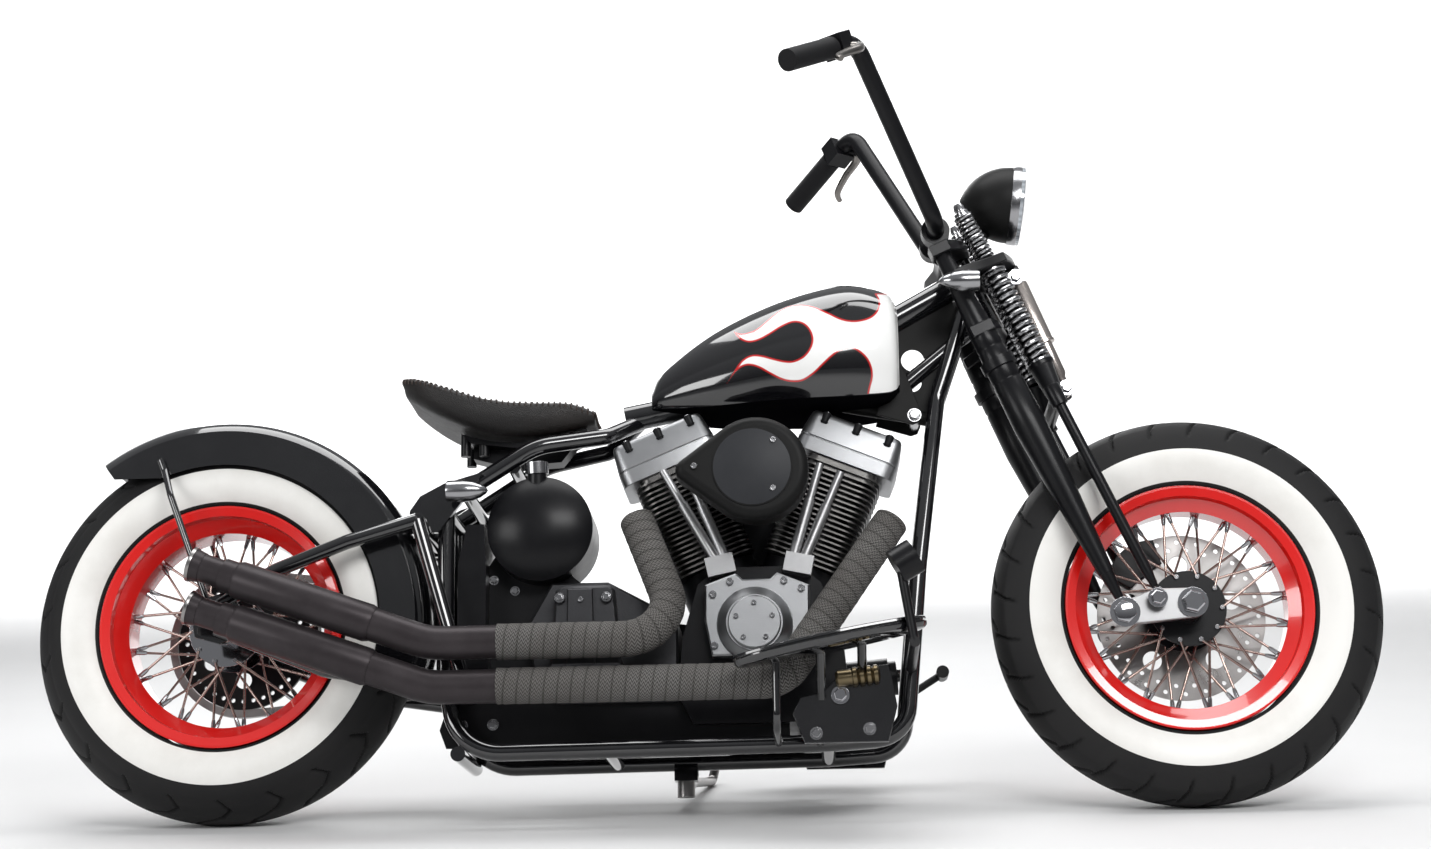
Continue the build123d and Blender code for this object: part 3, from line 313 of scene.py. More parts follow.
def whitewall():
    """White rubber with dirty patches."""
    s = Shader("whitewall")
    cloud = s.noise(7.0, 6.0, 0.62)
    dirt = s.patches(cloud, 0.46, 0.78, 0.30)
    s.set(Base_Color=s.mix(dirt, (0.78, 0.77, 0.74), (0.46, 0.43, 0.38)), Roughness=0.42,
          Specular_IOR_Level=0.4)
    s.bump(s.noise(500.0, 3.0), 0.0001)


def fluted_lens():
    """Glass painted silvery as a painted reflection, with painted glints along flutes one way and bars the
    other.
    """
    s = Shader("lens")
    _, y, z = s.add("SeparateXYZ", s.place).outputs
    flute = s.math("SINE", s.times(y, 2 * pi / 0.0075))
    bar = s.math("SINE", s.times(z, 2 * pi / 0.021))
    # painted glints and dark bands that follow the flutes and bars
    painted_glints = s.ramp(s.plus(s.times(s.times(flute, bar), 0.3), 0.5),
                   (0.1, (0.20, 0.22, 0.24)), (0.9, (0.62, 0.66, 0.70)))
    s.set(Base_Color=painted_glints, Roughness=0.08, Metallic=0.35, Coat_Weight=1.0, Coat_Roughness=0.01)
    s.bump(s.plus(flute, s.times(bar, 0.6)), 0.00012)


def brushed(name, colour, rough):
    """Metal brushed along X, with long fine scratches."""
    s = Shader(name)
    stretch = s.add("Mapping", s.place)
    s.put(stretch.inputs["Scale"], (0.04, 1.0, 1.0))
    line = s.noise(1500.0, 2.0, 0.6, stretch.outputs[0])
    cloud = s.noise(16.0, 6.0, 0.6)
    s.set(Base_Color=s.mix(s.times(cloud, 0.45), colour, tuple(c * 0.55 for c in colour)), Metallic=1.0,
          Roughness=s.scaled(line, 0.16, rough - 0.05))
    s.bump(line, 0.00012, s.rounded(0.0010))


paint("black_gloss", (0.004, 0.004, 0.005))
dull("black_satin", (0.005, 0.005, 0.006), 0.34, Coat_Weight=0.12, Coat_Roughness=0.25)
dull("black_matt", (0.006, 0.006, 0.006), 0.48)
dull("pipe_black", (0.034, 0.029, 0.031), 0.38, wear=0.35, Metallic=0.4)
metal("cast_grey", (0.055, 0.055, 0.058), 0.42, cast=0.5, grain=0.1, stain=0.5)
dull("fin_black", (0.006, 0.006, 0.007), 0.45)
fins()
brushed("alloy", (0.36, 0.365, 0.375), 0.34)
metal("pewter", (0.25, 0.235, 0.22), 0.28, grain=0.1, stain=0.4)
metal("satin_steel", (0.36, 0.36, 0.365), 0.38, grain=0.1, stain=0.3)
metal("polished", (0.34, 0.34, 0.35), 0.20, grain=0.02)
metal("chrome", (0.46, 0.46, 0.48), 0.09, stain=0.06)
metal("spring_steel", (0.40, 0.40, 0.41), 0.20, stain=0.15)
metal("spoke", (0.36, 0.28, 0.25), 0.20, stain=0.4)
metal("steel", (0.30, 0.29, 0.285), 0.30, grain=0.15, stain=0.35)
metal("damper", (0.52, 0.47, 0.44), 0.24, stain=0.1)
dull("disc_grey", (0.026, 0.027, 0.030), 0.42)
metal("brass", (0.17, 0.135, 0.08), 0.30, stain=0.4)
paint("red_rim", (0.66, 0.010, 0.008), 0.16)
dull("rubber", (0.010, 0.010, 0.011), 0.62, grain=0.6, scale=700.0)
flames()
woven_wrap()
leather("leather", (0.006, 0.005, 0.005), (0.017, 0.013, 0.011))
leather("lace", (0.022, 0.014, 0.011), (0.06, 0.04, 0.03))
tyre_black()
whitewall()
fluted_lens()
LOOKS = {
    "black_gloss": "main_frame rear_fender swingarm fuel_tank footboards",
    "black_satin": "oil_tank battery_box primary_cover front_caliper bar_risers handlebar front_hub "
                   "bar_controls rear_sprocket foot_controls oil_filter seat_pan fork_rear_legs crankcase",
    "black_matt": "air_cleaner rear_caliper exhaust_headers fork_front_rods headlamp_shell",
    "pipe_black": "exhaust_pipes",
    "cast_grey": "transmission",
    "fins": "cylinders",
    "alloy": "rocker_boxes cam_cover",
    "pewter": "bar_levers",
    "satin_steel": "fork_rockers pushrod_tubes",
    "polished": "fuel_cap oil_tank_cap rear_turn_signals front_turn_signals",
    "chrome": "fork_shock rear_hub",
    "spring_steel": "fork_springs",
    "spoke": "front_spokes rear_spokes",
    "steel": "front_rotor rear_axle drive_chain side_stand",
    "red_rim": "front_rim rear_rim",
    "rubber": "grips seat front_tyre rear_tyre",
    "lens": "headlamp_lens",
}


def dress_nodes():
    """Give every carried-over CAD node its finish."""
    for look, names in LOOKS.items():
        for name in names.split():
            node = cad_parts.get(name)
            if node is None:
                continue
            node.data.materials.clear()
            node.data.materials.append(MATERIALS[look])


# ---- mesh building ----
SHARP_ANGLE = radians(34.0)
ON_AXIS = 0.01                  # radius of a turned form's closed end


def add_piece(name, points, faces, materials, body, slots=None, uvs=None, slot=None):
    """Make a mesh piece from points in the upright machine's frame and hang it on a body."""
    mesh = bpy.data.meshes.new(name)
    points = np.asarray(points, float)
    turn = np.array(PARKED)
    mesh.from_pydata((points @ turn[:3, :3].T + turn[:3, 3]).tolist(), [], faces)
    for material in materials:
        mesh.materials.append(MATERIALS[material])
    if slots is not None:
        mesh.polygons.foreach_set("material_index", slots)
    mesh.polygons.foreach_set("use_smooth", [True] * len(mesh.polygons))
    if uvs is not None:
        layer = mesh.uv_layers.new(name="UVMap")
        for corner, loop in enumerate(mesh.loops):
            layer.data[corner].uv = uvs[loop.vertex_index]
    form = bmesh.new()
    form.from_mesh(mesh)
    bmesh.ops.recalc_face_normals(form, faces=form.faces)
    form.to_mesh(mesh)
    form.free()
    mesh.set_sharp_from_angle(angle=SHARP_ANGLE)
    made = new_object(name, mesh)
    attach(made, body)
    return made


def grid_faces(rows, columns, close_rows=False, close_columns=False):
    """Quads over a grid of points stored row after row."""
    faces = []
    for row in range(rows if close_rows else rows - 1):
        here, over = row * columns, (row + 1) % rows * columns
        for column in range(columns if close_columns else columns - 1):
            on = (column + 1) % columns
            faces.append((here + column, here + on, over + on, over + column))
    return faces


def end_faces(rows, columns):
    """The first and last rows of such a grid, each filled."""
    return [tuple(range(columns)), tuple(range((rows - 1) * columns, rows * columns))]


def skinned(points, rows):
    """Closed form over rows of as many points each, every row a ring."""
    columns = len(points) // rows
    return points, grid_faces(rows, columns, close_columns=True) + end_faces(rows, columns)


def join_parts(parts):
    """Join (points, faces) pairs into one pair."""
    points, faces = [], []
    for part_points, part_faces in parts:
        faces.extend([tuple(i + len(points) for i in face) for face in part_faces])
        points.extend([tuple(p) for p in part_points])
    return points, faces


def show(name, parts, look, body="frame", slot=None, node=None):
    """One piece made of joined parts, in a node's place where one is named."""
    piece = add_piece(name, *join_parts(parts), [look], body, slot=slot or look)
    if node:
        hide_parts(node)


def ring_angles(count):
    """Even angles once round."""
    return np.linspace(0, 2 * pi, count, endpoint=False)


def ring_points(centre, side, up, radius, count):
    """Circle of points in the plane of two directions."""
    return [centre + (side * cos(a) + up * sin(a)) * radius for a in ring_angles(count)]


def arc_through(start, middle, end, count):
    """Points along the circle arc through three points of a plane."""
    a, b, c = complex(*start), complex(*middle), complex(*end)
    ratio = (c - a) / (b - a)
    centre = a + (b - a) * (ratio - abs(ratio) ** 2) / (2j * ratio.imag)
    first, half, last = (atan2((p - centre).imag, (p - centre).real) for p in (a, b, c))
    turn = (last - first) % (2 * pi)
    if (half - first) % (2 * pi) > turn:
        turn -= 2 * pi
    radius = abs(a - centre)
    return [(centre.real + radius * cos(first + turn * t), centre.imag + radius * sin(first + turn * t))
            for t in np.linspace(0, 1, count)]


def rounded_path(corners, radii, step=6.0):
    """Dense points along straight runs joined by tangent arcs."""
    corners = [Vector(c) for c in corners]
    radii = list(radii) if hasattr(radii, "__len__") else [radii] * (len(corners) - 2)
    path = [corners[0]]
    for before, corner, after, radius in zip(corners, corners[1:], corners[2:], radii):
        back, on = (before - corner).normalized(), (after - corner).normalized()
        half = back.angle(on) / 2
        setback = radius / tan(half)
        middle = corner + (back + on).normalized() * (radius / sin(half))
        first, last = corner + back * setback, corner + on * setback
        turn = pi - 2 * half
        axis = (first - middle).cross(last - middle).normalized()
        count = max(3, int(radius * turn / step))
        path += [middle + Matrix.Rotation(turn * i / count, 3, axis) @ (first - middle)
                 for i in range(count + 1)]
    path.append(corners[-1])
    dense = [path[0]]
    for a, b in zip(path, path[1:]):
        runs = max(1, round((b - a).length / step))
        dense += [a.lerp(b, i / runs) for i in range(1, runs + 1)]
    return dense


def frames_along(path):
    """Point, side and up vectors along a path, turned as little as possible."""
    frames = []
    side = None
    for i, point in enumerate(path):
        ahead = (path[min(i + 1, len(path) - 1)] - path[max(i - 1, 0)]).normalized()
        if side is None:
            side = ahead.orthogonal().normalized()
        side = (side - ahead * side.dot(ahead)).normalized()
        frames.append((point, side, ahead.cross(side)))
    return frames


def tube_part(path, radius, sides=16):
    """Round tube along a path; radius is a number or a function of the share of the way."""
    points = []
    for i, (point, side, up) in enumerate(frames_along(path)):
        r = radius(i / (len(path) - 1)) if callable(radius) else radius
        points += ring_points(point, side, up, r, sides)
    return skinned(points, len(path))


def lathe_part(profile, centre, axis, sides=32, ends="closed"):
    """Turned form from (distance along the axis, radius) pairs.

    Its ends are closed by rings that run in to the axis, or "filled" by one face where they are wide,
    or "open".
    """
    centre, axis = Vector(centre), Vector(axis).normalized()
    side = axis.orthogonal().normalized()
    up = axis.cross(side)
    first, last = profile[0], profile[-1]
    if ends == "closed":
        profile = [(first[0], ON_AXIS), *profile, *[(last[0], ON_AXIS)] * (last[1] > ON_AXIS)]
    points = [p for along, r in profile for p in ring_points(centre + axis * along, side, up, r, sides)]
    faces = grid_faces(len(profile), sides, close_columns=True)
    if ends == "filled":
        faces += [face for face, (_, r) in zip(end_faces(len(profile), sides), (first, last)) if r > ON_AXIS]
    return points, faces


CAP_CHAMFER, HEX_CHAMFER, WASHER = 0.8, 0.86, 1.35       # shares of a head's height, size and radius


def hex_bolt(at, axis, across_flats, height, washer=0.0):
    """Hexagon head with a chamfered top and, if asked, a washer under it."""
    r = across_flats / 2 / cos(pi / 6)
    parts = []
    if washer:
        parts.append(lathe_part([(-0.2, r * WASHER), (washer, r * WASHER)], at, axis, 24))
    parts.append(lathe_part([(0, r), (washer + height * HEX_CHAMFER, r), (washer + height, r * HEX_CHAMFER)],
                            at, axis, 6))
    return join_parts(parts)


def cap_screw(at, axis, head, height):
    """Cap screw: round head with a recess in it."""
    r = head / 2
    return lathe_part([(0, r), (height * CAP_CHAMFER, r), (height, r * 0.9), (height, r * 0.55),
                       (height * 0.45, r * 0.5)], at, axis, 18)


# ---- tyres ----
CROWN_ARC = radians(50.0)
REAR_HALF, FRONT_HALF = 92.0, 70.0
TYRE_STEPS = 720
FRONT_PITCHES, REAR_PITCHES = 28, 22
GROOVE_DEPTH, GROOVE_LOW = 5.0, 14.0     # how deep, and how far outside the whitewall they end
TREAD_STEP, BEAD_IN, WHITE_PROUD = 2.6, 4.3, 0.5
WHITE_OUT, WHITE_IN = 283.0, 224.0


def tyre_profile(half, rim_half):
    """One side of the tyre's outer skin as (radius, width, white) points, and the tread's half width."""
    crown = CROWN_ARC * half / REAR_HALF
    tread = [(TYRE_R - CROWN_R + CROWN_R * cos(a), CROWN_R * sin(a), False)
             for a in np.linspace(0, crown, max(8, int(CROWN_R * crown / TREAD_STEP)))]
    wall = arc_through(tread[-1][:2], ((TYRE_R + RIM_R) / 2 - 6, half), (RIM_R + 2, rim_half - BEAD_IN), 30)
    for r, y in wall[1:]:
        white = WHITE_IN < r < WHITE_OUT
        tread.append((r, y + WHITE_PROUD * white, white))
    return tread, CROWN_R * sin(crown)


# a slit's half width, its soft edge and its taper
FRONT_CUT, REAR_CUT = (0.050, 0.0175, 0.08), (0.046, 0.016, 0.06)
# start, end, lead, share of a pitch it is shifted by
FRONT_SLITS = ((0.40, 1.20, 0.45, 0.0), (0.06, 0.66, 0.85, 0.46))
# start, knee, end, lead before the knee, lead after it, shift
REAR_SLITS = ((0.50, 0.78, 1.08, 0.9, -0.8, 0.0), (0.04, 0.30, 0.60, 0.5, 1.5, 0.5))


def slit_depth(pitches, across, start, end, lead, wide, soft, taper):
    """Depth share of one slit, repeated every pitch and half a pitch on across the crown."""
    u = abs(across)
    if not start < u < end:
        return 0.0
    phase = (pitches + (0.5 if across < 0 else 0) - lead + 0.5) % 1 - 0.5
    return min(1, (u - start) / taper, (end - u) / taper) * min(1, max(0, (wide - abs(phase)) / soft))


def front_groove(turn, across):
    """Depth share of the front tread's slashes, one long and one short a pitch."""
    pitches = turn * FRONT_PITCHES / (2 * pi)
    return max(slit_depth(pitches + shift, across, start, end, lead * max(0.0, abs(across) - start) ** 1.4,
                          *FRONT_CUT)
               for start, end, lead, shift in FRONT_SLITS)


def rear_groove(turn, across):
    """Depth share of the rear tread's bent slits and its long centre sweeps."""
    pitches = turn * REAR_PITCHES / (2 * pi)
    u = abs(across)
    return max(slit_depth(pitches + shift, across, start, end,
                          first * (min(u, knee) - start) + second * max(0.0, u - knee), *REAR_CUT)
               for start, knee, end, first, second, shift in REAR_SLITS)


def make_tyre(name, axle, half, rim_half, groove, body):
    """Tyre skin with cut tread and whitewalls."""
    profile, edge = tyre_profile(half, rim_half)
    both = [(r, -y, white) for r, y, white in reversed(profile[1:])] + profile
    points, cuts = [], []
    for turn in ring_angles(TYRE_STEPS):
        for r, y, _ in both:
            cut = groove(turn, y / edge) if r > WHITE_OUT + GROOVE_LOW else 0.0
            cuts.append(cut)
            r -= GROOVE_DEPTH * cut
            points.append((axle.x + r * cos(turn), axle.y + y, axle.z + r * sin(turn)))
    row = [int(a[2] and b[2]) for a, b in zip(both, both[1:])]
    tyre = add_piece(name + "_skin", points, grid_faces(TYRE_STEPS, len(both), close_rows=True),
                     ["tyre_black", "whitewall"], body, slots=row * TYRE_STEPS, slot="tyre")
    # the grooves' depth shares are kept on the mesh for the painted shade in them
    tyre.data.attributes.new("groove_shade", "FLOAT", "POINT").data.foreach_set("value", cuts)
    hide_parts(name)


# ---- fuel tank ----
# x, half width, bottom, shoulder, top
TANK_SECTIONS = (
    (1214, 92, 752, 850, 912),
    (1196, 116, 734, 850, 940),
    (1120, 134, 726, 842, 960),
    (1000, 130, 724, 822, 932),
    (880, 98, 722, 792, 880),
    (792, 56, 728, 764, 816),
    (766, 34, 734, 750, 768),
)
# side view of the flames: X and Z round their outline
FLAME_SIDE = (
    (1174, 923), (1181, 902), (1175, 880), (1160, 866), (1136, 860), (1113, 864), (1090, 877),
    (1064, 892), (1041, 899), (1018, 898), (998, 887), (964, 857), (947, 850), (931, 850), (916, 861),
    (926, 843), (937, 833), (950, 829), (967, 832), (987, 842), (1007, 854), (1027, 861), (1044, 856),
    (1055, 842), (1059, 825), (1054, 808), (1042, 794), (1025, 787), (1009, 788), (989, 794),
    (970, 801), (953, 804), (938, 799), (926, 787), (904, 754), (920, 774), (933, 783), (946, 785),
    (963, 779), (982, 767), (1002, 756), (1021, 751), (1041, 752), (1061, 763), (1078, 778),
    (1095, 793), (1111, 803), (1131, 806), (1148, 796), (1159, 781), (1163, 760), (1160, 715),
    (1240, 700), (1240, 940),
)
FLAME_TIPS = ((916, 861), (904, 754))          # where that outline is sharp
TANK_ARC_STEPS, TONGUE_LOW, FLAME_FAR = 46, 780, 60
# top view of the middle tongue: X and distance from the middle
FLAME_TOP = ((1240, 70), (1150, 44), (1090, 20), (1040, 12), (990, 22), (950, 26), (918, 16), (890, 0))


def smooth_curve(points, per):
    """Catmull-Rom curve through the points."""
    points = np.array(points, float)
    ends = np.vstack([points[:1], points, points[-1:]])
    curve = [0.5 * (2 * p1 + (p2 - p0) * t + (2 * p0 - 5 * p1 + 4 * p2 - p3) * t * t
                    + (3 * p1 - p0 - 3 * p2 + p3) * t ** 3)
             for p0, p1, p2, p3 in zip(ends, ends[1:], ends[2:], ends[3:])
             for t in np.linspace(0, 1, per, endpoint=False)]
    return np.array(curve + [points[-1]])


def signed_distance(points, outline):
    """Distance of each point to a closed outline, positive inside it."""
    nearest = np.full(len(points), 1e9)
    inside = np.zeros(len(points), bool)
    for a, b in zip(outline, np.roll(outline, -1, axis=0)):
        span = b - a
        share = np.clip(((points - a) @ span) / max(span @ span, 1e-9), 0, 1)
        nearest = np.minimum(nearest, np.linalg.norm(points - a - share[:, None] * span, axis=1))
        crosses = (a[1] > points[:, 1]) != (b[1] > points[:, 1])
        with np.errstate(divide="ignore", invalid="ignore"):
            at = a[0] + (points[:, 1] - a[1]) / (b[1] - a[1]) * (b[0] - a[0])
        inside ^= crosses & (points[:, 0] < at)
    return np.where(inside, nearest, -nearest)


# shares of the half width at the foot, low on the side and over the shoulder, and of the height there
TANK_FOOT, TANK_SIDE, TANK_OVER, TANK_OVER_UP = 0.82, 0.97, 0.74, 0.70


def tank_section(half, bottom, shoulder, top):
    """Half of one cross-section, from the middle of the bottom to the middle of the top."""
    foot = half * TANK_FOOT
    low = arc_through((foot, bottom), (half * TANK_SIDE, (bottom * 2 + shoulder) / 3), (half, shoulder),
                      TANK_ARC_STEPS)
    high = arc_through((half, shoulder), (half * TANK_OVER, shoulder + (top - shoulder) * TANK_OVER_UP),
                       (0, top), TANK_ARC_STEPS)
    return [(foot * i / 6, bottom) for i in range(6)] + low[:-1] + high


def make_tank():
    """Tank skin whose paint carries the flames' distance to their edge."""
    sections = smooth_curve(TANK_SECTIONS[::-1], 34)
    points = []
    for x, half, bottom, shoulder, top in sections:
        right = tank_section(half, bottom, shoulder, top)
        points += [(x, -y, z) for y, z in right] + [(x, y, z) for y, z in reversed(right[:-1])]
    rows = len(sections)
    columns = len(points) // rows
    tank = add_piece("fuel_tank_skin", points, grid_faces(rows, columns) + end_faces(rows, columns),
                     ["flames"], "frame", slot="black_flames")
    points = np.array(points)
    top_line = smooth_curve(FLAME_TOP, 8)
    upper = signed_distance(points[:, :2], np.vstack([top_line, top_line[::-1] * (1, -1)]))
    distance = np.maximum(signed_distance(points[:, [0, 2]], smooth_flame(FLAME_SIDE)),
                          np.where(points[:, 2] > TONGUE_LOW, upper, -FLAME_FAR))
    bottoms = np.repeat(sections[:, 2], columns)
    distance = np.where(points[:, 2] < bottoms + 0.5, -UNDERSIDE * 2, distance)
    layer = tank.data.attributes.new("flame_reach", "FLOAT", "POINT")
    layer.data.foreach_set("value", (distance * MM).astype(np.float32))
    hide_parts("fuel_tank")


# height above the tank's top line, radius; where it stands
CAP_PROFILE = ((-14, 30), (1.5, 30), (3.0, 28.5), (3.4, 22), (2.6, 21))
CAP_X, CAP_TOP, CAP_SLOPE = 1090.0, 955.5, 0.15


def make_cap():
    """Filler cap let into the tank, as none shows above it in the photo."""
    cap = lathe_part(CAP_PROFILE, (CAP_X, 0, CAP_TOP), (-sin(CAP_SLOPE), 0, cos(CAP_SLOPE)), 48)
    show("filler_cap", [cap], "polished", node="fuel_cap")


def smooth_flame(outline):
    """Round the outline off, but keep its two tips sharp."""
    first, second = (outline.index(tip) for tip in FLAME_TIPS)
    return np.vstack([smooth_curve(run, 5)
                      for run in (outline[:first + 1], outline[first:second + 1], outline[second:])])


# ---- exhaust wrap ----
PIPE_Y, WRAP_END_X, WRAP_SIDES = -206.0, 510.0, 72
WRAP_T, WRAP_LAP = 1.9, 1.7
LAP_RISE, LAP_FALL = 0.12, 0.35         # share of a turn where the cloth climbs; how much it sinks after
# port, elbow, run height, bend radius
HEADERS = (((742, -92, 512), (830, PIPE_Y, 282), 282, 76), ((1190, -92, 500), (995, PIPE_Y, 206), 206, 62))


def make_wraps():
    """Wound cloth on both headers: each turn laps over the one before."""
    turned = np.arange(WRAP_SIDES + 1) / WRAP_SIDES
    for number, (port, elbow, run_z, bend) in enumerate(HEADERS):
        path = rounded_path([port, elbow, (WRAP_END_X, PIPE_Y, run_z)], bend, 3.0)[::-1]
        run, points, uvs = 0.0, [], []
        for i, (point, side, up) in enumerate(frames_along(path)):
            run += (path[i] - path[i - 1]).length if i else 0.0
            for turn in turned:
                share = (run / WRAP_STEP + turn) % 1
                r = WRAP_R - WRAP_T + WRAP_LAP * min(1.0, share / LAP_RISE) * (1 - LAP_FALL * share)
                points.append(point + (side * cos(2 * pi * turn) + up * sin(2 * pi * turn)) * r)
                uvs.append((run * MM, turn))
        columns = WRAP_SIDES + 1
        ends = [face[:-1] for face in end_faces(len(path), columns)]
        wrap = add_piece("header_wrap_%d" % number, points, grid_faces(len(path), columns) + ends, ["wrap"],
                         "frame", uvs=uvs, slot="heat_wrap")
        if number == 0:
            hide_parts("exhaust_headers")


# ---- seat ----
# x, half width, underside, rim height, dish depth at the middle
SEAT_SECTIONS = (
    (668, 62, 698, 722, 4),
    (600, 78, 682, 742, 10),
    (520, 104, 672, 738, 16),
    (440, 132, 684, 748, 20),
    (370, 128, 716, 772, 14),
    (316, 84, 756, 788, 6),
)
SEAT_VOXEL, SEAT_SHRINK, SEAT_CAP = 0.005, 5.0, 8.0
SEAT_FRAMES = 20
CLOTH = {"vertex_group_mass": "hold", "use_pressure": True, "uniform_pressure_force": 4.0, "quality": 6,
         "tension_stiffness": 12.0, "compression_stiffness": 12.0, "bending_stiffness": 1.5}
RIM_IN, RIM_DOWN = 3, 2
FIRM_REACH, FIRM_SHARE = 0.022, 0.25    # how far in from the rim the pad is drawn in less, and by how much
HELD_REACH, FACES_DOWN = 0.006, 0.8     # the rim and the underside are held
SADDLE_MIDDLE_X = 480
STITCH_STEP, STITCH_HALF, STITCH_R, STITCH_SLANT, STITCH_SUNK = 10.5, 8.5, 1.5, 2.4, 0.4
# how far in from the rim, and height over it, of a stitch's points
STITCH = ((STITCH_HALF, 2.0), (STITCH_HALF * 0.5, 3.0), (0, 3.0), (-2.0, -STITCH_HALF * 0.5),
          (-2.0, -STITCH_HALF))


def seat_rim():
    """Closed line along the seat's rim, where it is laced."""
    side = smooth_curve(SEAT_SECTIONS, 14)
    line = [Vector((x, half - RIM_IN, rim - RIM_DOWN)) for x, half, _, rim, _ in side]

    def crossing(section, way):
        """From one side to the other at an end of the seat."""
        x, half, _, rim, dish = section
        return [Vector((x - way * RIM_IN, way * a * (half - RIM_IN), rim - RIM_DOWN - dish * (1 - a * a)))
                for a in np.linspace(-1, 1, 14)[1:-1]]
    back = [Vector((p.x, -p.y, p.z)) for p in reversed(line)]
    return line + crossing(side[-1], -1) + back + crossing(side[0], 1)


def even_steps(loop, step):
    """Points at equal steps along a closed line."""
    ring = loop + [loop[0]]
    total = sum((b - a).length for a, b in zip(ring, ring[1:]))
    count = round(total / step)
    marks, run, made = [total * i / count for i in range(count)], 0.0, []
    for a, b in zip(ring, ring[1:]):
        length = (b - a).length
        while len(made) < count and marks[len(made)] <= run + length:
            made.append(a.lerp(b, (marks[len(made)] - run) / max(length, 1e-9)))
        run += length
    return made


def make_seat():
    """Padded saddle: the solid's form, blown up against its held rim, then laced."""
    pad = new_object("seat_pad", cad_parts["seat"].data.copy())
    pad.data.materials.clear()
    pad.data.materials.append(MATERIALS["leather"])
    bpy.context.view_layer.objects.active = pad
    remesh = pad.modifiers.new("remesh", "REMESH")
    remesh.mode, remesh.voxel_size = "VOXEL", SEAT_VOXEL
    bpy.ops.object.modifier_apply(modifier=remesh.name)
    pad.data.shade_smooth()
    rim = seat_rim()
    inflate(pad, np.array([tuple(PARKED @ p) for p in even_steps(rim, 3.0)]))
    smooth = pad.modifiers.new("smooth", "SUBSURF")
    smooth.levels = smooth.render_levels = 1
    bpy.ops.object.modifier_apply(modifier=smooth.name)
    pad.data.shade_smooth()
    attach(pad, "frame")
    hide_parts("seat")
    show("seat_lacing", lacing(pad, even_steps(rim, STITCH_STEP)), "lace", slot="leather")


def inflate(pad, line):
    """Draw the pad in, least along its rim line, and blow it up again as cloth held there."""
    mesh = pad.data
    count = len(mesh.vertices)
    spots = np.empty(count * 3)
    mesh.vertices.foreach_get("co", spots)
    spots = spots.reshape(-1, 3)
    normals = np.array([tuple(v.normal) for v in mesh.vertices])
    near = np.array([np.linalg.norm(line - p, axis=1).min() for p in spots])
    down = normals @ np.array(PARKED.to_3x3().normalized() @ Vector((0, 0, -1)))
    shrink = SEAT_SHRINK * MM * (FIRM_SHARE + (1 - FIRM_SHARE) * np.clip(near / FIRM_REACH, 0, 1))
    start = spots - normals * shrink[:, None]
    mesh.vertices.foreach_set("co", start.ravel())
    mesh.update()
    hold = pad.vertex_groups.new(name="hold")
    for index in np.nonzero((near < HELD_REACH) | (down > FACES_DOWN))[0]:
        hold.add([int(index)], 1.0, "REPLACE")
    cloth = pad.modifiers.new("cloth", "CLOTH")
    for name, value in CLOTH.items():
        setattr(cloth.settings, name, value)
    cloth.settings.effector_weights.gravity = 0.0
    cloth.collision_settings.use_collision = False
    cloth.point_cache.frame_start, cloth.point_cache.frame_end = 1, SEAT_FRAMES
    scene = bpy.context.scene
    for number in range(1, SEAT_FRAMES + 1):
        scene.frame_set(number)
    blown = pad.evaluated_get(bpy.context.evaluated_depsgraph_get()).data
    moved = np.empty(count * 3)
    blown.vertices.foreach_get("co", moved)
    step = moved.reshape(-1, 3) - start
    length = np.linalg.norm(step, axis=1)
    cap = SEAT_CAP * MM
    step *= (cap * np.tanh(length / cap) / np.maximum(length, 1e-9))[:, None]
    pad.modifiers.remove(cloth)
    scene.frame_set(1)
    mesh.vertices.foreach_set("co", (start + step).ravel())


def lacing(pad, knots):
    """Stitches over the rim, each laid on the pad's surface."""
    tree = BVHTree.FromObject(pad, bpy.context.evaluated_depsgraph_get())
    back = PARKED.inverted()
    parts = []
    for i, spot in enumerate(knots):
        along = (knots[(i + 1) % len(knots)] - knots[i - 1]).normalized()
        inward = along.cross(Vector((0, 0, 1))).normalized()
        if inward.dot(Vector((SADDLE_MIDDLE_X - spot.x, -spot.y, 0))) < 0:
            inward = -inward
        route = []
        for reach, rise in STITCH:
            at = spot + inward * reach + Vector((0, 0, rise)) + along * STITCH_SLANT * (reach / STITCH_HALF)
            hit, normal, *_ = tree.find_nearest(PARKED @ at)
            off = STITCH_SUNK if STITCH_HALF in (reach, -rise) else STITCH_R
            route.append(back @ (hit + normal * off * MM))
        parts.append(tube_part(route, STITCH_R, 6))
    return parts


# ---- headlamp ----
LAMP = Vector((HEAD.x + 102, 0, HEAD.z + 133))
LAMP_TILT = radians(-7.5)
LAMP_OUT = Vector((cos(LAMP_TILT), 0, sin(LAMP_TILT)))
LENS_PROFILE = ((17, 62.0), (18.6, 56.0), (21, 44.0), (22.8, 30.0), (23.8, 15.0), (24, ON_AXIS))
BEZEL_PROFILE = ((-5, 70.0), (-5, 72.6), (2, 73.4), (10, 73.4), (15, 71.6), (18, 68.0), (18.6, 64.0),
                 (17.2, 61.0), (15.6, 60.6))


def make_lamp():
    """Fluted glass in its plated rim."""
    show("headlamp_glass", [lathe_part(LENS_PROFILE, LAMP, LAMP_OUT, 64, "filled")], "lens", "fork")
    show("headlamp_bezel", [lathe_part(BEZEL_PROFILE, LAMP, LAMP_OUT, 72, "open")], "polished", "fork")


# ---- exhaust tips ----
# tip x and z, knee x and z of each tail pipe
TAIL_PIPES = (((-24, 430), (393, 282)), ((-26, 354), (393, 206)))
# distance from the tip, radius
LIP_PROFILE = ((-6, 29.9), (-3, 30.8), (-0.6, 31.0), (0.2, 30.2), (0.2, 28.6), (-3, 27.4), (-40, 21.6))
SLEEVE_PROFILE = ((-84, 30.0), (-90, 33.0), (-330, 33.0), (-338, 30.0))


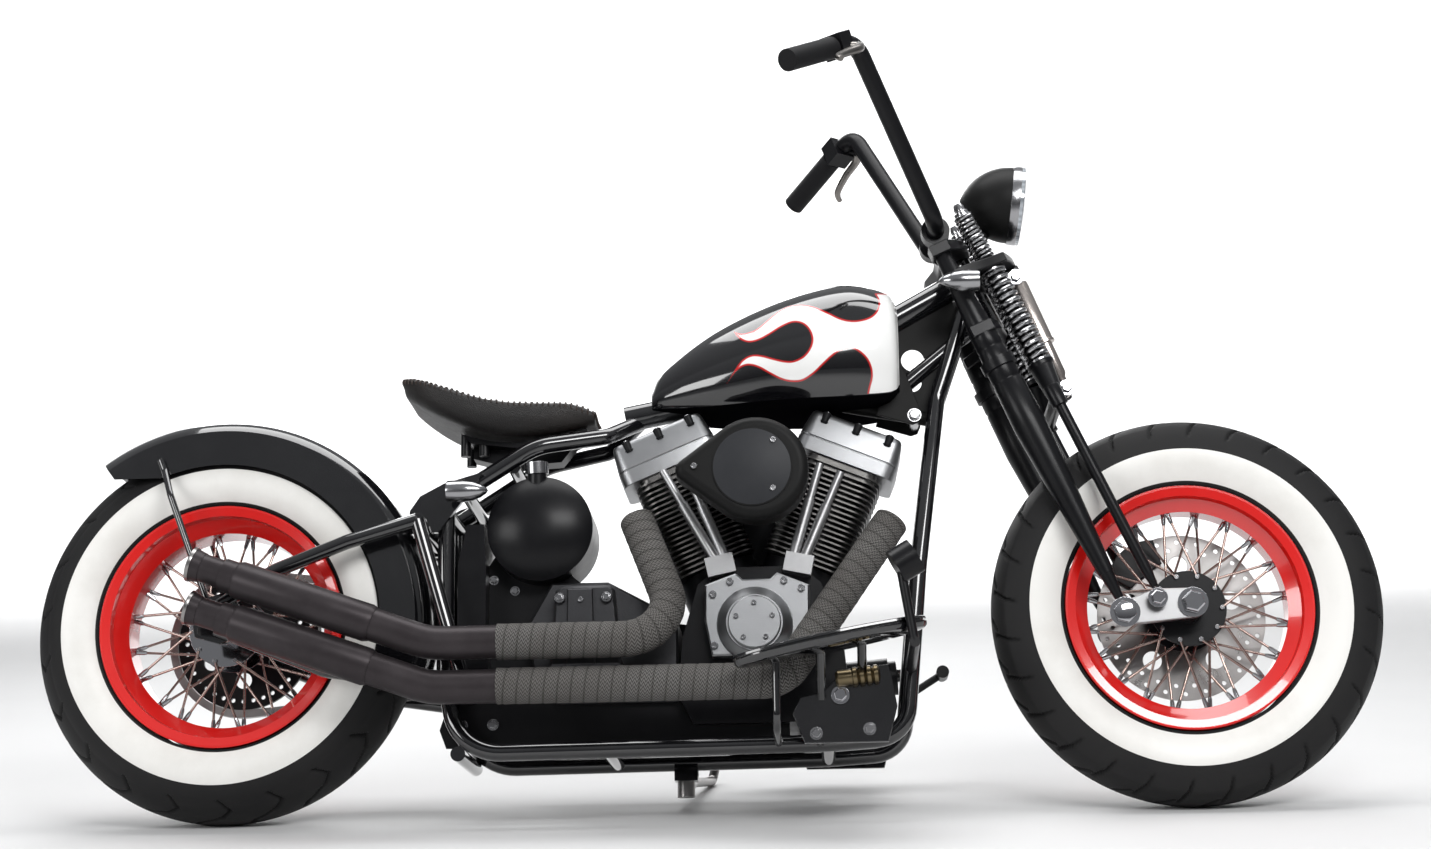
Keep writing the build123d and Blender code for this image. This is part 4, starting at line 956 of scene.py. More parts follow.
def make_tips():
    """Rolled bright lips on the tail pipes, and the wider sleeves before them."""
    lips, sleeves = [], []
    for (tip_x, tip_z), (knee_x, knee_z) in TAIL_PIPES:
        tip, way = Vector((tip_x, PIPE_Y, tip_z)), Vector((tip_x - knee_x, 0, tip_z - knee_z))
        lips.append(lathe_part(LIP_PROFILE, tip, way, 48, "open"))
        sleeves.append(lathe_part(SLEEVE_PROFILE, tip, way, 48, "filled"))
    show("pipe_sleeves", sleeves, "pipe_black")
    show("pipe_lips", lips, "steel")


# ---- fasteners and small trim ----
def arc_spots(x, z, radius, first, step):
    """Five side-view spots along an arc, its angles in degrees."""
    return [(x + radius * cos(a), z + radius * sin(a)) for a in (radians(first + step * i) for i in range(5))]


def bolts(make, y, sizes, spots):
    """Heads at spots of the side view, facing away from the middle plane."""
    return [make((x, y, z), (0, 1 if y > 0 else -1, 0), *sizes) for x, z in spots]


CAM = Vector((948.0, 0.0, 316.0))
CASE_FACE, BRACKET_Y, AIR_FACE = -131, 194, -238.0
BOARD_BOLTS = ((1050, 116), (1140, 122))
ENGINE_SCREWS = (
    (cap_screw, CASE_FACE, (13, 5),
     ((876, 370), (906, 392), (1000, 392), (1030, 378), (878, 280), (1014, 280))),
    (cap_screw, -159, (9, 4), arc_spots(CAM.x, CAM.z, 33, 90, 72)),
    (cap_screw, AIR_FACE - 1, (11, 4.5), ((988, 617), (986, 532), (851, 574))),
    (hex_bolt, CASE_FACE, (11, 5, 1.5), ((608, 370), (690, 370))),
    (cap_screw, CASE_FACE, (10, 4), ((645, 366), (645, 272))),
    (cap_screw, 186, (11, 3), arc_spots(956, 250, 84, -80, 40) + arc_spots(640, 268, 108, 100, 40)),
    (hex_bolt, BRACKET_Y, (14, 7, 2), BOARD_BOLTS),
    (hex_bolt, -BRACKET_Y, (14, 7, 2), BOARD_BOLTS))
AIR_DISC = ((-4, 67), (0.6, 67), (1.0, 66))


def make_fasteners():
    """Air cleaner's disc, and the bolt heads on the engine, its cases and the boards."""
    show("air_disc", [lathe_part(AIR_DISC, (951.0, AIR_FACE - 2, 571.0), (0, -1, 0), 72)], "disc_grey",
         slot="black_satin")
    show("engine_screws", [head for row in ENGINE_SCREWS for head in bolts(*row)], "polished")
    show("board_bolts", [head for y in (BRACKET_Y, -BRACKET_Y)
                         for head in bolts(hex_bolt, y, (20, 9, 4), ((1092, 180),))], "chrome")


SPOKE_PAIRS, SPOKE_LACING, SPOKE_OFFSET, SPOKE_RIM_Y, SPOKE_HUB_R = 10, 26.0, 4.4, 12.0, 59.0
NIPPLE_PROFILE = ((0, 4.4), (14.25, 3.9), (19, 2.9))
SPOKE_HEAD = ((-4.5, 3.4), (-2.5, 4.2), (2, 4.2))
NIPPLE_R = WELL_R - 4.5


def make_nipples():
    """Nipples at the rim and dished heads at the hub, where the laced spokes run."""
    for wheel, axle, flange_y in (("front", FRONT_AXLE, 32.0), ("rear", REAR_AXLE, 34.0)):
        parts = []
        for side, pair, lead in [(a, b, c) for a in (1, -1) for b in range(SPOKE_PAIRS) for c in (1, -1)]:
            at_hub = radians((pair + 0.25 * side + 0.25 * lead) * 360 / SPOKE_PAIRS)
            at_rim = at_hub + lead * radians(SPOKE_LACING)
            start, end = (axle + Vector((r * cos(a), side * (y + lead * SPOKE_OFFSET), r * sin(a)))
                          for r, a, y in ((SPOKE_HUB_R, at_hub, flange_y), (NIPPLE_R, at_rim, SPOKE_RIM_Y)))
            parts += [lathe_part(NIPPLE_PROFILE, end, start - end, 8),
                      lathe_part(SPOKE_HEAD, start, (0, side * lead, 0), 10)]
        show(wheel + "_nipples", parts, "polished", wheel + "_wheel", slot="chrome")


# ---- forms over the plainer solids ----
def prism_part(outline, origin, across, up, depth, chamfer=1.0):
    """Plate from an outline given in two directions, with chamfered rims; it grows along their cross."""
    origin, across, up = Vector(origin), Vector(across).normalized(), Vector(up).normalized()
    out = across.cross(up)
    flat = np.array(outline, float)
    area = 0.5 * np.sum(flat[:, 0] * np.roll(flat[:, 1], -1) - np.roll(flat[:, 0], -1) * flat[:, 1])
    if area < 0:
        flat = flat[::-1]
    ahead = np.roll(flat, -1, axis=0) - flat
    ahead /= np.linalg.norm(ahead, axis=1)[:, None]
    inward = np.stack([-ahead[:, 1], ahead[:, 0]], axis=1)
    mitre = inward + np.roll(inward, 1, axis=0)
    mitre /= np.maximum(MITRE_LEAST, np.sum(mitre * inward, axis=1))[:, None]
    rings = [(flat + mitre * chamfer, 0.0), (flat, chamfer), (flat, depth - chamfer),
             (flat + mitre * chamfer, depth)]
    points = [origin + across * a + up * b + out * t for ring, t in rings for a, b in ring]
    return skinned(points, len(rings))


def side_plate(outline, y_from, y_to, chamfer=1.0):
    """Plate from an X and Z outline between two widths."""
    low, high = sorted((y_from, y_to))
    return prism_part(outline, (0, high, 0), (1, 0, 0), (0, 0, 1), high - low, chamfer)


def fork_side_plate(outline, y_from, y_to):
    """The same, from an outline given ahead of and up the steering axis."""
    return side_plate([(p.x, p.z) for p in (forked(a, 0, u) for a, u in outline)], y_from, y_to)


def tree_part(outline, up, thick):
    """Fork plate square to the steering axis, from its ahead and left outline."""
    full = list(outline) + [(a, -b) for a, b in reversed(outline)]
    return prism_part(full, forked(0, 0, up), STEER_FWD, (0, 1, 0), thick, 2.0)


MITRE_LEAST = 0.35              # keeps the chamfer of a sharp corner short
SOFT_END = 0.8                  # chamfer of a plain bar's ends


def bar_part(start, end, radius, end_radius=None, sides=28):
    """Straight round bar or cone with softened ends."""
    start, end = Vector(start), Vector(end)
    long = (end - start).length
    last = radius if end_radius is None else end_radius
    return lathe_part([(0, radius - SOFT_END), (SOFT_END, radius), (long - SOFT_END, last),
                       (long, last - SOFT_END)], start, end - start, sides)


def cross_bar(at, radius, y_from, y_to):
    """Round bar across the machine through a point of its side view."""
    return bar_part((at.x, y_from, at.z), (at.x, y_to, at.z), radius, sides=32)


def hull_outline(circles):
    """Convex outline round circles given as x, z, radius."""
    spots = sorted({(round(x + r * cos(a), 3), round(z + r * sin(a), 3))
                    for x, z, r in circles for a in ring_angles(40)})

    def chain(line):
        kept = []
        for p in line:
            while len(kept) > 1 and ((kept[-1][0] - kept[-2][0]) * (p[1] - kept[-2][1])
                                     - (kept[-1][1] - kept[-2][1]) * (p[0] - kept[-2][0])) <= 0:
                kept.pop()
            kept.append(p)
        return kept[:-1]
    return chain(spots) + chain(spots[::-1])


COIL_STEPS, COIL_SIDES = 30, 9  # points along one turn, and round the wire


def coil_part(low, high, radius, wire, turns):
    """Wire of a coil spring, radius being the coil's outside."""
    axis = (high - low).normalized()
    side = axis.orthogonal().normalized()
    up = axis.cross(side)
    path = [low.lerp(high, share) + (side * cos(a) + up * sin(a)) * (radius - wire)
            for share in np.linspace(0, 1, int(turns * COIL_STEPS) + 1) for a in (2 * pi * turns * share,)]
    return tube_part(path, wire, COIL_SIDES)


LEG_Y, LEG_BACK, ROD_AHEAD = 100.0, 30.0, 35.0
LEG_LOW, ROD_TOP = -624.0, -306.0
TREE_TOP, TREE_T, TREE_LOW = 20.3, 22.0, -125.3
PIVOT, LINK_BOLT = Vector((1589.0, 0, 327.0)), Vector((1647.0, 0, 351.0))
ROCKER_IN, ROCKER_OUT, EYE_IN, EYE_OUT = 76.0, 92.7, 93.0, 107.0
PERCH_LOW, PERCH_TOP = -33.0, -15.0
SPRING_AHEAD, SPRING_Y = 44.0, 62.0
SPRING_SEAT, SPRING_TOP = -226.0, 83.0
SHOCK_TOP, SHOCK_LOW = (87.0, -51.0), (76.0, -279.0)
CHEEK_Y = (13.0, 18.0)
# distance down the leg, radius
LEG_PROFILE = ((0, 12), (6, 15), (60, 17), (62, 18), (66, 18), (68, 17), (176, 24), (196, 25),
               (198, 24), (201, 24), (203, 25), (221, 26), (222, 32), (240, 32), (241, 27), (262, 27.5),
               (264, 26.5), (267, 26.5), (269, 27.8), (356, 30), (480, 24), (650, 14))
ROD_PROFILE = ((0, 14), (2, 15), (39, 15), (41, 10), (368, 10), (402, 6))
# distance from just under the upper eye, radius
SHOCK_PROFILE = ((0, 10), (8, 12), (11, 18), (13, 19), (128, 19), (129, 20.5), (134, 20.5),
                 (135, 14), (138, 14), (196, 14), (204, 10), (228, 10))
# from, to, outside radius, wire radius, turns
SPRINGS = ((SPRING_SEAT, PERCH_LOW, 25.0, 4.3, 15), (PERCH_TOP, SPRING_TOP, 19.0, 3.1, 11))
# half outlines of the fork's plates: ahead and left of the steering axis
TOP_TREE = ((30, 20), (24, 60), (6, 92), (-14, 120), (-50, 120), (-50, 84), (-34, 40))
PERCH = ((97, 20), (86, 56), (74, 88), (40, 96), (-8, 116), (-46, 116), (-46, 84), (-10, 74), (14, 52),
         (35, 20))
LOW_TREE = ((22, 30), (8, 84), (-10, 124), (-50, 124), (-52, 84), (-10, 40), (-24, 20))
# cheeks that hold the damper, ahead of and up from its eyes
TOP_CHEEK = ((-13, -8), (-6, -14), (8, -14), (13, -6))
LOW_CHEEK = ((-6, 14), (8, 12), (14, 0), (8, -12), (-4, -14))
SPRING_CAP = ((0, 15), (8, 15), (11, 11), (18, 11), (26, 8), (30, ON_AXIS))
COIL_GAP, CORE_GAP = 0.4, 1.5   # between a coil and its seats, and round the dark core inside it
EYE_R, EYE_HALF, PIN_R, PIN_HALF = 12, 12.7, 6, 24
COLLAR_R, COLLAR_IN, COLLAR_OUT = 15, 18.3, 21.5
SLEEVE_R, BOSS_R, CROSS_R, STEM_R, AXLE_R, AXLE_HALF, SHANK_R, SHANK_OUT = 17, 14, 13, 13.9, 12.5, 110, 8, 112


def make_fork():
    """Springer fork: turned legs and rods, plates, perch, coil springs, damper and rockers."""
    top, low = forked(SHOCK_TOP[0], 0, SHOCK_TOP[1]), forked(SHOCK_LOW[0], 0, SHOCK_LOW[1])
    legs = [bar_part(forked(0, 0, TREE_LOW - 4), forked(0, 0, TREE_TOP + 30), STEM_R),
            tree_part(TOP_TREE, TREE_TOP, TREE_T), tree_part(PERCH, PERCH_LOW, PERCH_TOP - PERCH_LOW),
            tree_part(LOW_TREE, TREE_LOW - TREE_T, TREE_T)]
    shock, rods, springs, chrome, rockers = [lathe_part(SHOCK_PROFILE, top, low - top, 48)], [], [], [], []
    for eye in (top, low):
        shock.append(cross_bar(eye, EYE_R, -EYE_HALF, EYE_HALF))
        chrome.append(cross_bar(eye, PIN_R, -PIN_HALF, PIN_HALF))
        for side in (1, -1):
            chrome.append(cross_bar(eye, COLLAR_R, side * COLLAR_IN, side * COLLAR_OUT))
            chrome += bolts(hex_bolt, side * COLLAR_OUT, (17, 8), ((eye.x, eye.z),))
    link = hull_outline([(at.x, at.z, r) for at, r in ((PIVOT, 20), (FRONT_AXLE, 26), (LINK_BOLT, 19))])
    for side in (1, -1):
        y, spring_y = side * LEG_Y, side * SPRING_Y
        cheek = [side * width for width in CHEEK_Y]
        ahead, up = SHOCK_TOP
        legs += [lathe_part(LEG_PROFILE, forked(-LEG_BACK, y, 26), -STEER_UP, 40),
                 bar_part(forked(-LEG_BACK, y, LEG_LOW + 2), PIVOT + Vector((0, y, 10)), 13, 6),
                 cross_bar(PIVOT, SLEEVE_R, side * EYE_IN, side * EYE_OUT),
                 fork_side_plate([(ahead - 13, PERCH_LOW + 2), *((ahead + a, up + b) for a, b in TOP_CHEEK),
                                  (ahead + 13, PERCH_LOW + 2)], *cheek)]
        ahead, up = SHOCK_LOW
        rods += [lathe_part(ROD_PROFILE, forked(ROD_AHEAD, y, ROD_TOP + 26), -STEER_UP, 32),
                 bar_part(forked(ROD_AHEAD, y, ROD_TOP), forked(SPRING_AHEAD, spring_y, SPRING_SEAT - 5),
                          15, 22),
                 bar_part(forked(SPRING_AHEAD, spring_y, SPRING_SEAT - 8),
                          forked(SPRING_AHEAD, spring_y, SPRING_SEAT), 25),
                 cross_bar(LINK_BOLT, BOSS_R, side * EYE_IN, side * EYE_OUT),
                 fork_side_plate([(ROD_AHEAD, ROD_TOP - 10), (ROD_AHEAD, ROD_TOP + 10),
                                  *((ahead + a, up + b) for a, b in LOW_CHEEK)], *cheek)]
        for start, end, radius, wire, turns in SPRINGS:
            a, b = (forked(SPRING_AHEAD, spring_y, at) for at in (start + COIL_GAP, end - COIL_GAP))
            inner_a, inner_b = a + STEER_UP * wire, b - STEER_UP * wire
            springs += [coil_part(inner_a, inner_b, radius, wire, turns), bar_part(a, inner_a, radius),
                        bar_part(inner_b, b, radius)]
            rods.append(bar_part(a, b, radius - 2 * wire - CORE_GAP))
        springs.append(lathe_part(SPRING_CAP, forked(SPRING_AHEAD, spring_y, SPRING_TOP - 1), STEER_UP, 24))
        rockers.append(side_plate(link, side * ROCKER_IN, side * ROCKER_OUT, 1.6))
        for bolt, size, height in ((PIVOT, 34, 9), (LINK_BOLT, 22, 8)):
            chrome.append(cross_bar(bolt, SHANK_R, side * ROCKER_IN, side * SHANK_OUT))
            chrome += bolts(hex_bolt, side * (EYE_OUT + 0.3), (size, height, 2), ((bolt.x, bolt.z),))
        chrome += bolts(hex_bolt, side * ROCKER_OUT, (34, 14, 4), ((FRONT_AXLE.x, FRONT_AXLE.z),))
    rods.append(cross_bar(forked(ROD_AHEAD, 0, ROD_TOP), CROSS_R, -LEG_Y, LEG_Y))
    chrome += [cross_bar(FRONT_AXLE, AXLE_R, -AXLE_HALF, AXLE_HALF),
               hex_bolt(forked(0, 0, TREE_TOP + TREE_T), STEER_UP, 40, 12, 3)]
    for name, parts, look, slot, node in (
            ("fork_legs", legs, "black_satin", "pipe_black", "fork_rear_legs"),
            ("fork_rods", rods, "black_satin", "pipe_black", "fork_front_rods"),
            ("fork_coils", springs, "spring_steel", "chrome", "fork_springs"),
            ("fork_damper", shock, "damper", "chrome", "fork_shock"),
            ("fork_links", rockers, "satin_steel", "black_satin", "fork_rockers"),
            ("fork_bolts", chrome, "chrome", "chrome", None)):
        show(name, parts, look, "fork", slot, node)


# distance from the open end, radius
BULLET = ((0, 18), (3, 19), (30, 19.5), (46, 17.5), (60, 12), (70, 5), (73, ON_AXIS))
BAR_TOP, GRIP_OUT = HEAD + Vector((-185, 232, 372)), HEAD + Vector((-303, 372, 282))
GRIP_SHARE = 0.36
# share of the way along the grip, reach ahead of the bar
LEVER = ((GRIP_SHARE - 0.10, 38), (GRIP_SHARE + 0.02, 50), (0.58, 54), (0.80, 64), (0.90, 75), (0.96, 86))
LEVER_R, LEVER_TAPER, LEVER_DROP = 9.5, 4.6, 2
SIGNAL_Y, SIGNAL_UP, STALK_IN, STALK_R = 146, -48, 112, 6
# open end and stalk of the rear signals
REAR_END, REAR_STALK = (411, 150, 561), ((444, 113.3, 566), (444, 140, 564))


def make_bar_trim():
    """Curved levers, and the bullet turn signals at the fork and the rear."""
    levers, front, rear = [], [], []
    for side in (1, -1):
        top, outer = (Vector((p.x, side * p.y, p.z)) for p in (BAR_TOP, GRIP_OUT))
        run = outer - top
        route = [top + run * share + Vector((reach, 0, -LEVER_DROP)) for share, reach in LEVER]
        levers.append(tube_part([Vector(p) for p in smooth_curve([tuple(p) for p in route], 8)],
                                lambda share: LEVER_R - LEVER_TAPER * share, 14))
        levers.append(bar_part(top + run * LEVER[0][0], route[0] + Vector((6, 0, 0)), 8))
        middle = forked(-LEG_BACK, side * SIGNAL_Y, SIGNAL_UP)
        front += [lathe_part(BULLET, middle + Vector((33, 0, 0)), (-1, 0, 0), 36),
                  bar_part(forked(-LEG_BACK, side * STALK_IN, SIGNAL_UP), middle, STALK_R)]
        end, inner, outer = ((x, side * y, z) for x, y, z in (REAR_END, *REAR_STALK))
        rear += [lathe_part(BULLET, end, (1, 0, 0), 36), bar_part(inner, outer, STALK_R)]
    show("lever_blades", levers, "pewter", "fork", "polished", "bar_levers")
    show("front_bullets", front, "polished", "fork", node="front_turn_signals")
    show("rear_bullets", rear, "polished", node="rear_turn_signals")


CYL_TOP = 398.0
BOX_LONG, BOX_WIDE, BOX_HIGH, BOX_FOOT = 186.0, 158.0, 78.0, 26.0
# height above the cylinder, how much smaller on each side
BOX_LAYERS = ((0, 1), (1, 0), (25, 0), (BOX_FOOT, 1), (BOX_FOOT, 2.5), (28, 2.5), (28, 1), (29, 0.4),
              (66, 6), (73, 8), (76.5, 11), (BOX_HIGH, 16))
BOX_POCKETS, POCKET_Y = (-58.0, 2.0, 62.0), 64
CAM_OUTLINE = ((861, 324), (862, 387), (880, 394), (916, 407), (928, 396), (976, 396), (988, 407),
               (1044, 384), (1043, 330), (1034, 296), (1020, 264), (873, 262))
BOSS_PROFILE = ((-4, 66), (0, 66), (5, 64), (18, 51), (20, 49.5), (22, 49), (22, 46), (26, 46), (28, 44))
CASE_Y = 96.3
# pocket's length, width and corner radius; height over the cylinder; depth; chamfer
POCKET_FORMS = (((17, 30, 8), 60, -1, 0.2), ((15, 26, 7), 56, 21.2, 0.4))
# outline, from, to, chamfer
GEAR_PLATES = (
    (((560, 230), (548, 330), (590, 404), (690, 404), (770, 360), (812, 330), (812, 190), (600, 190)),
     -92, 92, 4.0),
    (((590, 250), (600, 384), (612, 393), (694, 393), (704, 384), (716, 250)), -124, -91, 5.0),
    (((620, 252), (622, 386), (666, 386), (670, 252)), CASE_FACE, -122, 2.0))


def rounded_box(long, wide, radius):
    """Outline of a rectangle with rounded corners."""
    outline = []
    for quarter, (x, y) in enumerate(((1, 1), (-1, 1), (-1, -1), (1, -1))):
        for a in np.linspace(0, pi / 2, 6):
            turn = a + quarter * pi / 2
            outline.append((x * (long / 2 - radius) + radius * cos(turn),
                            y * (wide / 2 - radius) + radius * sin(turn)))
    return outline


def make_rocker_boxes():
    """Layered rocker boxes with pockets in their tops and a screw in each."""
    boxes, pockets, heads = [], [], []
    for tilt in (-V_HALF, V_HALF):
        along, up = Vector((cos(tilt), 0, -sin(tilt))), Vector((sin(tilt), 0, cos(tilt)))
        base = CRANK + up * (CYL_TOP + 0.3)
        points = [base + along * a + Vector((0, b, 0)) + up * height for height, inset in BOX_LAYERS
                  for a, b in rounded_box(BOX_LONG - 2 * inset, BOX_WIDE - 2 * inset, max(6.0, 22.0 - inset))]
        boxes.append(skinned(points, len(BOX_LAYERS)))
        for a in BOX_POCKETS:
            for side in (1, -1):
                spot = base + along * a + Vector((0, side * POCKET_Y, 0))
                for box, height, deep, chamfer in POCKET_FORMS:
                    pockets.append(prism_part(rounded_box(*box), spot + up * height, along, (0, 1, 0), deep,
                                              chamfer))
                heads.append(cap_screw(spot + up * 77 + Vector((0, side * 2, 0)), up, 10, 3))
    show("rocker_lids", boxes, "alloy", node="rocker_boxes")
    show("rocker_pockets", pockets, "fin_black", slot="black_satin")
    show("rocker_screws", heads, "polished")


def make_cases():
    """Cam cover with its turned boss, and the gearbox with its side cover."""
    face = -CASE_Y - 34
    show("cam_casting", [side_plate(CAM_OUTLINE, -CASE_Y, face, 3.0),
                         lathe_part(BOSS_PROFILE, CAM + Vector((0, face, 0)), (0, -1, 0), 72)],
         "alloy", node="cam_cover")
    show("gear_case", [side_plate(*plate) for plate in GEAR_PLATES]
         + [bar_part((x, -120, 370), (x, CASE_FACE, 370), 10) for x in (608, 690)],
         "cast_grey", slot="alloy", node="transmission")


GUSSET = ((1196, 880), (1310, 950), (1330, 900), (1296, 790), (1280, 716), (1240, 716), (1206, 760),
          (1200, 820))
GUSSET_HOLES = ((1242, 820, 21), (1240, 777, 17))
NECK_BAR = ((1277, 0, 706), (1242, 0, 713), (1094, 0, 742), (960, 0, 756))
TANK_LUG = ((1214.5, 800), (1225, 790), (1254, 706), (1248, 692), (1236, 688), (1172, 708), (1176, 722),
            (1196, 731), (1214.5, 749.5))


def holed_plate(outline, holes, half):
    """Flat side plate on the middle plane, with round holes."""
    rings = [[Vector((x, 0, z)) for x, z in outline]]
    along, up = Vector((1, 0, 0)), Vector((0, 0, 1))
    rings += [ring_points(Vector((x, 0, z)), along, up, r, 32) for x, z, r in holes]
    flat = [p for ring in rings for p in ring]
    count = len(flat)
    points = [p + Vector((0, y, 0)) for y in (-half, half) for p in flat]
    faces = [tuple(i + lift for i in face) for lift in (0, count) for face in tessellate_polygon(rings)]
    base = 0
    for ring in rings:
        for i in range(len(ring)):
            a, b = base + i, base + (i + 1) % len(ring)
            faces.append((a, b, b + count, a + count))
        base += len(ring)
    return points, faces


def make_neck():
    """Pierced gusset, lower neck bar and the tank's front bracket."""
    lugs = [side_plate(TANK_LUG, side * 40, side * 45) for side in (1, -1)]
    show("neck_gusset", [holed_plate(GUSSET, GUSSET_HOLES, 3),
                         tube_part(rounded_path(NECK_BAR, (40, 60), 8), 13, 24)] + lugs,
         "black_matt", slot="black_gloss")
    show("tank_bolts", [cross_bar(Vector((1240, 0, 705)), 10, -51, 51)]
         + [bolts(hex_bolt, y, (16, 8, 2), ((1240, 705),))[0] for y in (45, -45)], "polished")


LOWER_PLATE = ((404, 118), (392, 150), (404, 186), (430, 204), (1004, 204), (1004, 118))
CARRIER = ((462, 204), (462, 430), (500, 486), (566, 470), (640, 410), (730, 330), (730, 204))
INTAKE = ((900, 566), (996, 566), (966, 440), (930, 440))


def make_plates():
    """Black plates between the rails and behind the oil tank with their bolts, and the intake in the V."""
    show("frame_plates", [side_plate(LOWER_PLATE, -70, -76), side_plate(CARRIER, -40, -46),
                          side_plate(INTAKE, -24, 24)], "fin_black", slot="black_satin")
    show("plate_bolts", bolts(hex_bolt, -76, (13, 6, 2), ((432, 158), (486, 158)))
         + bolts(hex_bolt, -46, (11, 5, 1.5), ((482, 420), (520, 400))), "polished")


BOARD = Vector((1075.0, 282.0, 266.0))
BOARD_LONG, BOARD_WIDE, BOARD_TILT = 330.0, 112.0, radians(11.0)
BRACKET = ((1030, 100), (1010, 150), (1024, 178), (1062, 186), (1100, 222), (1176, 232), (1188, 160),
           (1172, 100))
BRAKE_CYLINDER = ((0, 9), (4, 16), (10, 16), (12, 12), (16, 16), (22, 16), (24, 12), (28, 16),
                  (34, 16), (36, 12), (40, 16), (46, 16), (48, 14), (72, 14), (76, 10))


# depth below the board's top, how much smaller
BOARD_LAYERS = ((0, 2.5), (1.2, 0.6), (5, 0), (5, 5), (9, 5), (9, 0), (15, 1.2), (19, 5), (21, 14))
RAIL_Y, STRUT_Y, ARM_X = 127.3, 190, 985
# struts from the rail, and props up to the board: X and Z of where each starts
STRUTS, PROPS = ((1056, 111), (1146, 116)), ((1060, 176), (1130, 208))
STRUT_R, PROP_R, ARM_R = 9, 8, 7


def make_boards():
    """Footboards with a grooved double rim, their brackets and struts, and the brake cylinder."""
    parts = []
    tilt = Vector((cos(BOARD_TILT), 0, sin(BOARD_TILT)))
    up = Vector((-sin(BOARD_TILT), 0, cos(BOARD_TILT)))
    for side in (1, -1):
        centre = Vector((BOARD.x, side * BOARD.y, BOARD.z))
        parts.append(skinned([centre + tilt * ((BOARD_LONG / 2 - inset) * cos(a))
                              + Vector((0, (BOARD_WIDE / 2 - inset) * sin(a), 0)) - up * depth
                              for depth, inset in BOARD_LAYERS for a in ring_angles(96)], len(BOARD_LAYERS)))
        parts.append(side_plate(BRACKET, side * (BRACKET_Y - 8), side * BRACKET_Y, 1.5))
        parts += [bar_part((x, side * RAIL_Y, z), (x, side * STRUT_Y, z), STRUT_R) for x, z in STRUTS]
        for x, low in PROPS:
            under = BOARD.z - 14 + (x - BOARD.x) * tan(BOARD_TILT)
            parts.append(bar_part((x, side * STRUT_Y, low), (x, side * (BOARD.y - 30), under), PROP_R))
        under = BOARD.z - 12 + (ARM_X - BOARD.x) * tan(BOARD_TILT)
        arm = [(ARM_X, side * y, z) for y, z in ((RAIL_Y, 110), (BOARD.y - 24, 118), (BOARD.y - 24, under))]
        parts.append(tube_part(rounded_path(arm, 30, 5), ARM_R, 18))
    show("boards", parts, "black_gloss", slot="rubber", node="footboards")
    show("brake_cylinder", [lathe_part(BRAKE_CYLINDER, (1160, -204, 214), (-80, 0, -8), 28)], "brass",
         slot="steel")


CALIPER_MID, CALIPER_HALF = radians(128.0), radians(21.0)
CALIPER_SIDES, ARM_SIDES = ((50, 57), (67.5, 75)), (69, 75)


def make_caliper():
    """Two arc-sided halves of the front caliper and its arm."""
    steps = range(-5, 6)
    ring = [(96 + 6 * abs(step) / 5, step) for step in steps]
    ring += [(158 - 10 * (step / 5) ** 2, step) for step in reversed(steps)]
    outline = around_axle([(r, CALIPER_HALF * step / 5) for r, step in ring])
    arm = around_axle([(10, -1.2), (104, -0.17), (104, 0.17), (10, 1.2)])
    show("caliper_body", [side_plate(outline, *sides, 1.5) for sides in CALIPER_SIDES]
         + [side_plate(arm, *ARM_SIDES), cross_bar(FRONT_AXLE, 26, ARM_SIDES[0], 75.5)],
         "black_satin", "fork", node="front_caliper")


def around_axle(ring):
    """Side-view outline from radii and angles off the caliper's middle, about the front axle."""
    return [(FRONT_AXLE.x + r * cos(CALIPER_MID + t), FRONT_AXLE.z + r * sin(CALIPER_MID + t))
            for r, t in ring]


# ---- stage ----
FLOOR_WIDE, FLOOR_NEAR, FLOOR_FAR = 20.0, -22.0, 10.0
BEND, WALL_HIGH = 2.5, 9.5
# name, place, aim, width, height, watts
LAMPS = (
    ("key", (1.6, -3.6, 3.2), (0, 0, 0.5), 2.6, 1.2, 130),
    ("fill", (-3.4, -3.0, 1.8), (0, 0, 0.5), 2.0, 1.4, 60),
    ("top", (0, 0.4, 4.0), (0, 0, 0.4), 4.2, 2.0, 130),
    ("sweep", (0, 7.5, 5.2), (0, 12.0, 0.6), 12.0, 1.6, 1100),
    ("back", (-0.6, 3.2, 2.4), (0, 0, 0.5), 3.0, 1.2, 60))
# a bright ceiling over a dim horizon gives the plated parts their contrast
SKY = ((0.0, (0.22, 0.22, 0.23, 1)), (0.75, (0.95, 0.97, 1.0, 1)))
SKY_STRENGTH = 0.42


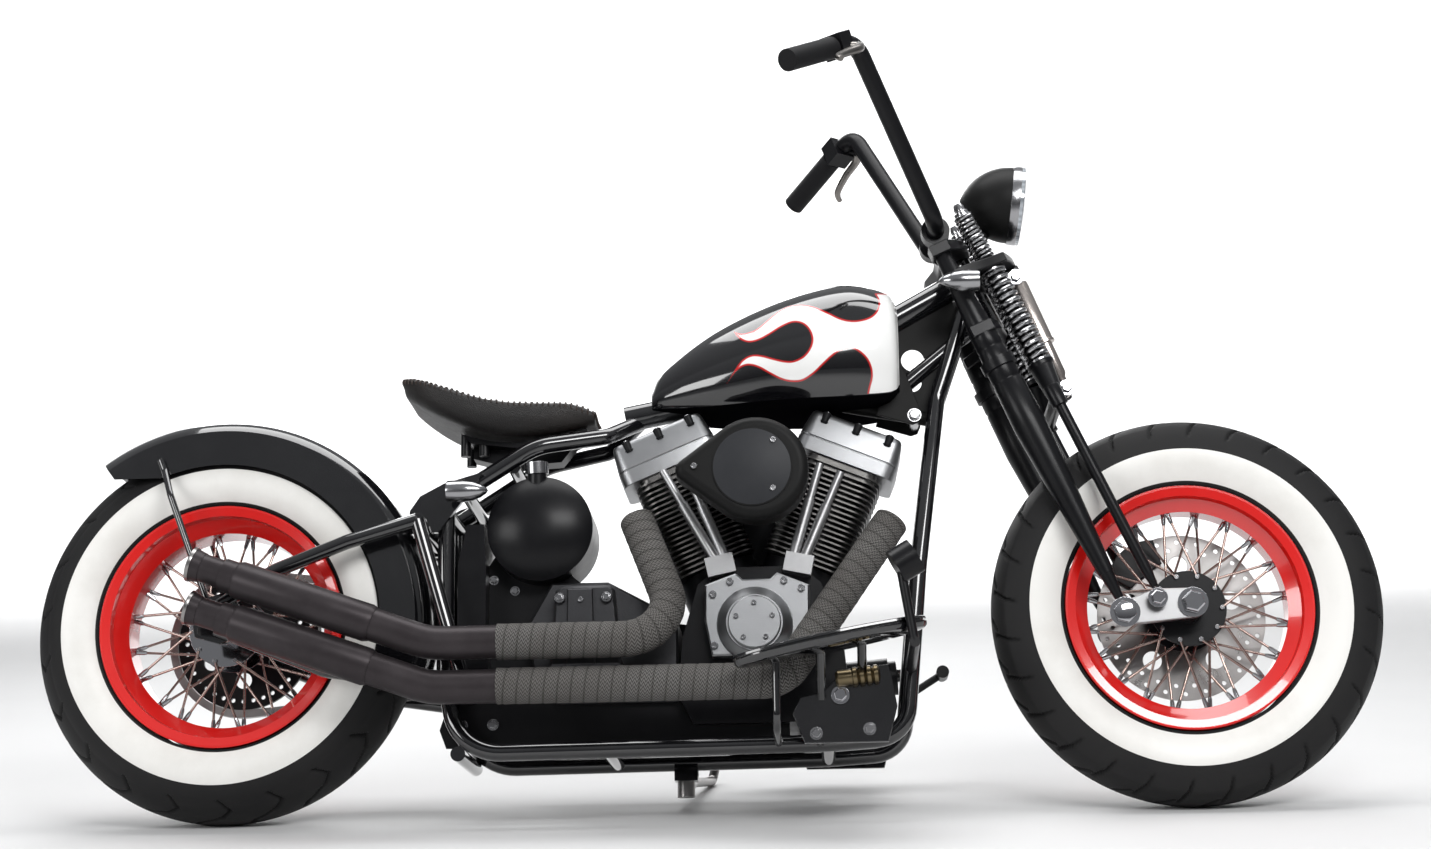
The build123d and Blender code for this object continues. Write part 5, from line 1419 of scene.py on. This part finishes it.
def make_stage():
    """Pale floor that runs up into a backdrop, soft lamps and a pale world."""
    profile = [(FLOOR_NEAR, 0.0), (FLOOR_NEAR + 6, 0.0), (FLOOR_FAR, 0.0)]
    profile += [(FLOOR_FAR + BEND * sin(a), BEND * (1 - cos(a))) for a in np.linspace(0.1, pi / 2, 12)]
    profile += [(FLOOR_FAR + BEND, WALL_HIGH)]
    count = len(profile)
    mesh = bpy.data.meshes.new("stage")
    mesh.from_pydata([(x, y, z) for x in (-FLOOR_WIDE, FLOOR_WIDE) for y, z in profile], [],
                     [(i, i + count, i + count + 1, i + 1) for i in range(count - 1)])
    mesh.polygons.foreach_set("use_smooth", [True] * len(mesh.polygons))
    stage = new_object("stage", mesh)
    s = Shader("stage")
    s.set(Base_Color=s.mix(s.noise(3.0), (0.64, 0.64, 0.64), (0.67, 0.67, 0.67)), Roughness=0.75,
          Specular_IOR_Level=0.2)
    mesh.materials.append(s.material)

    world = bpy.data.worlds.new("world")
    bpy.context.scene.world = world
    world.use_nodes = True
    nodes, links = world.node_tree.nodes, world.node_tree.links
    up = nodes.new("ShaderNodeSeparateXYZ")
    links.new(nodes.new("ShaderNodeTexCoord").outputs["Generated"], up.inputs[0])
    ramp = nodes.new("ShaderNodeValToRGB")
    links.new(up.outputs[2], ramp.inputs[0])
    links.new(ramp.outputs[0], nodes["Background"].inputs[0])
    for mark, (where, colour) in zip(ramp.color_ramp.elements, SKY):
        mark.position, mark.color = where, colour
    nodes["Background"].inputs[1].default_value = SKY_STRENGTH
    for name, place, aim, long, short, watts in LAMPS:
        lamp = bpy.data.lights.new(name, "AREA")
        lamp.shape = "RECTANGLE"
        lamp.size, lamp.size_y, lamp.energy = long, short, watts
        holder = new_object(name, lamp)
        holder.location = place
        holder.rotation_euler = (Vector(aim) - Vector(place)).to_track_quat("-Z", "Y").to_euler()


place_camera()
make_stage()
dress_nodes()
make_tyre("front_tyre", FRONT_AXLE, FRONT_HALF, 55.0, front_groove, "front_wheel")
make_tyre("rear_tyre", REAR_AXLE, REAR_HALF, 79.0, rear_groove, "rear_wheel")
make_tank()
make_cap()
make_wraps()
make_seat()
make_lamp()
make_tips()
make_fork()
make_bar_trim()
make_rocker_boxes()
make_cases()
make_neck()
make_plates()
make_boards()
make_caliper()
make_fasteners()
make_nipples()
bpy.context.scene.view_settings.view_transform = "Standard"
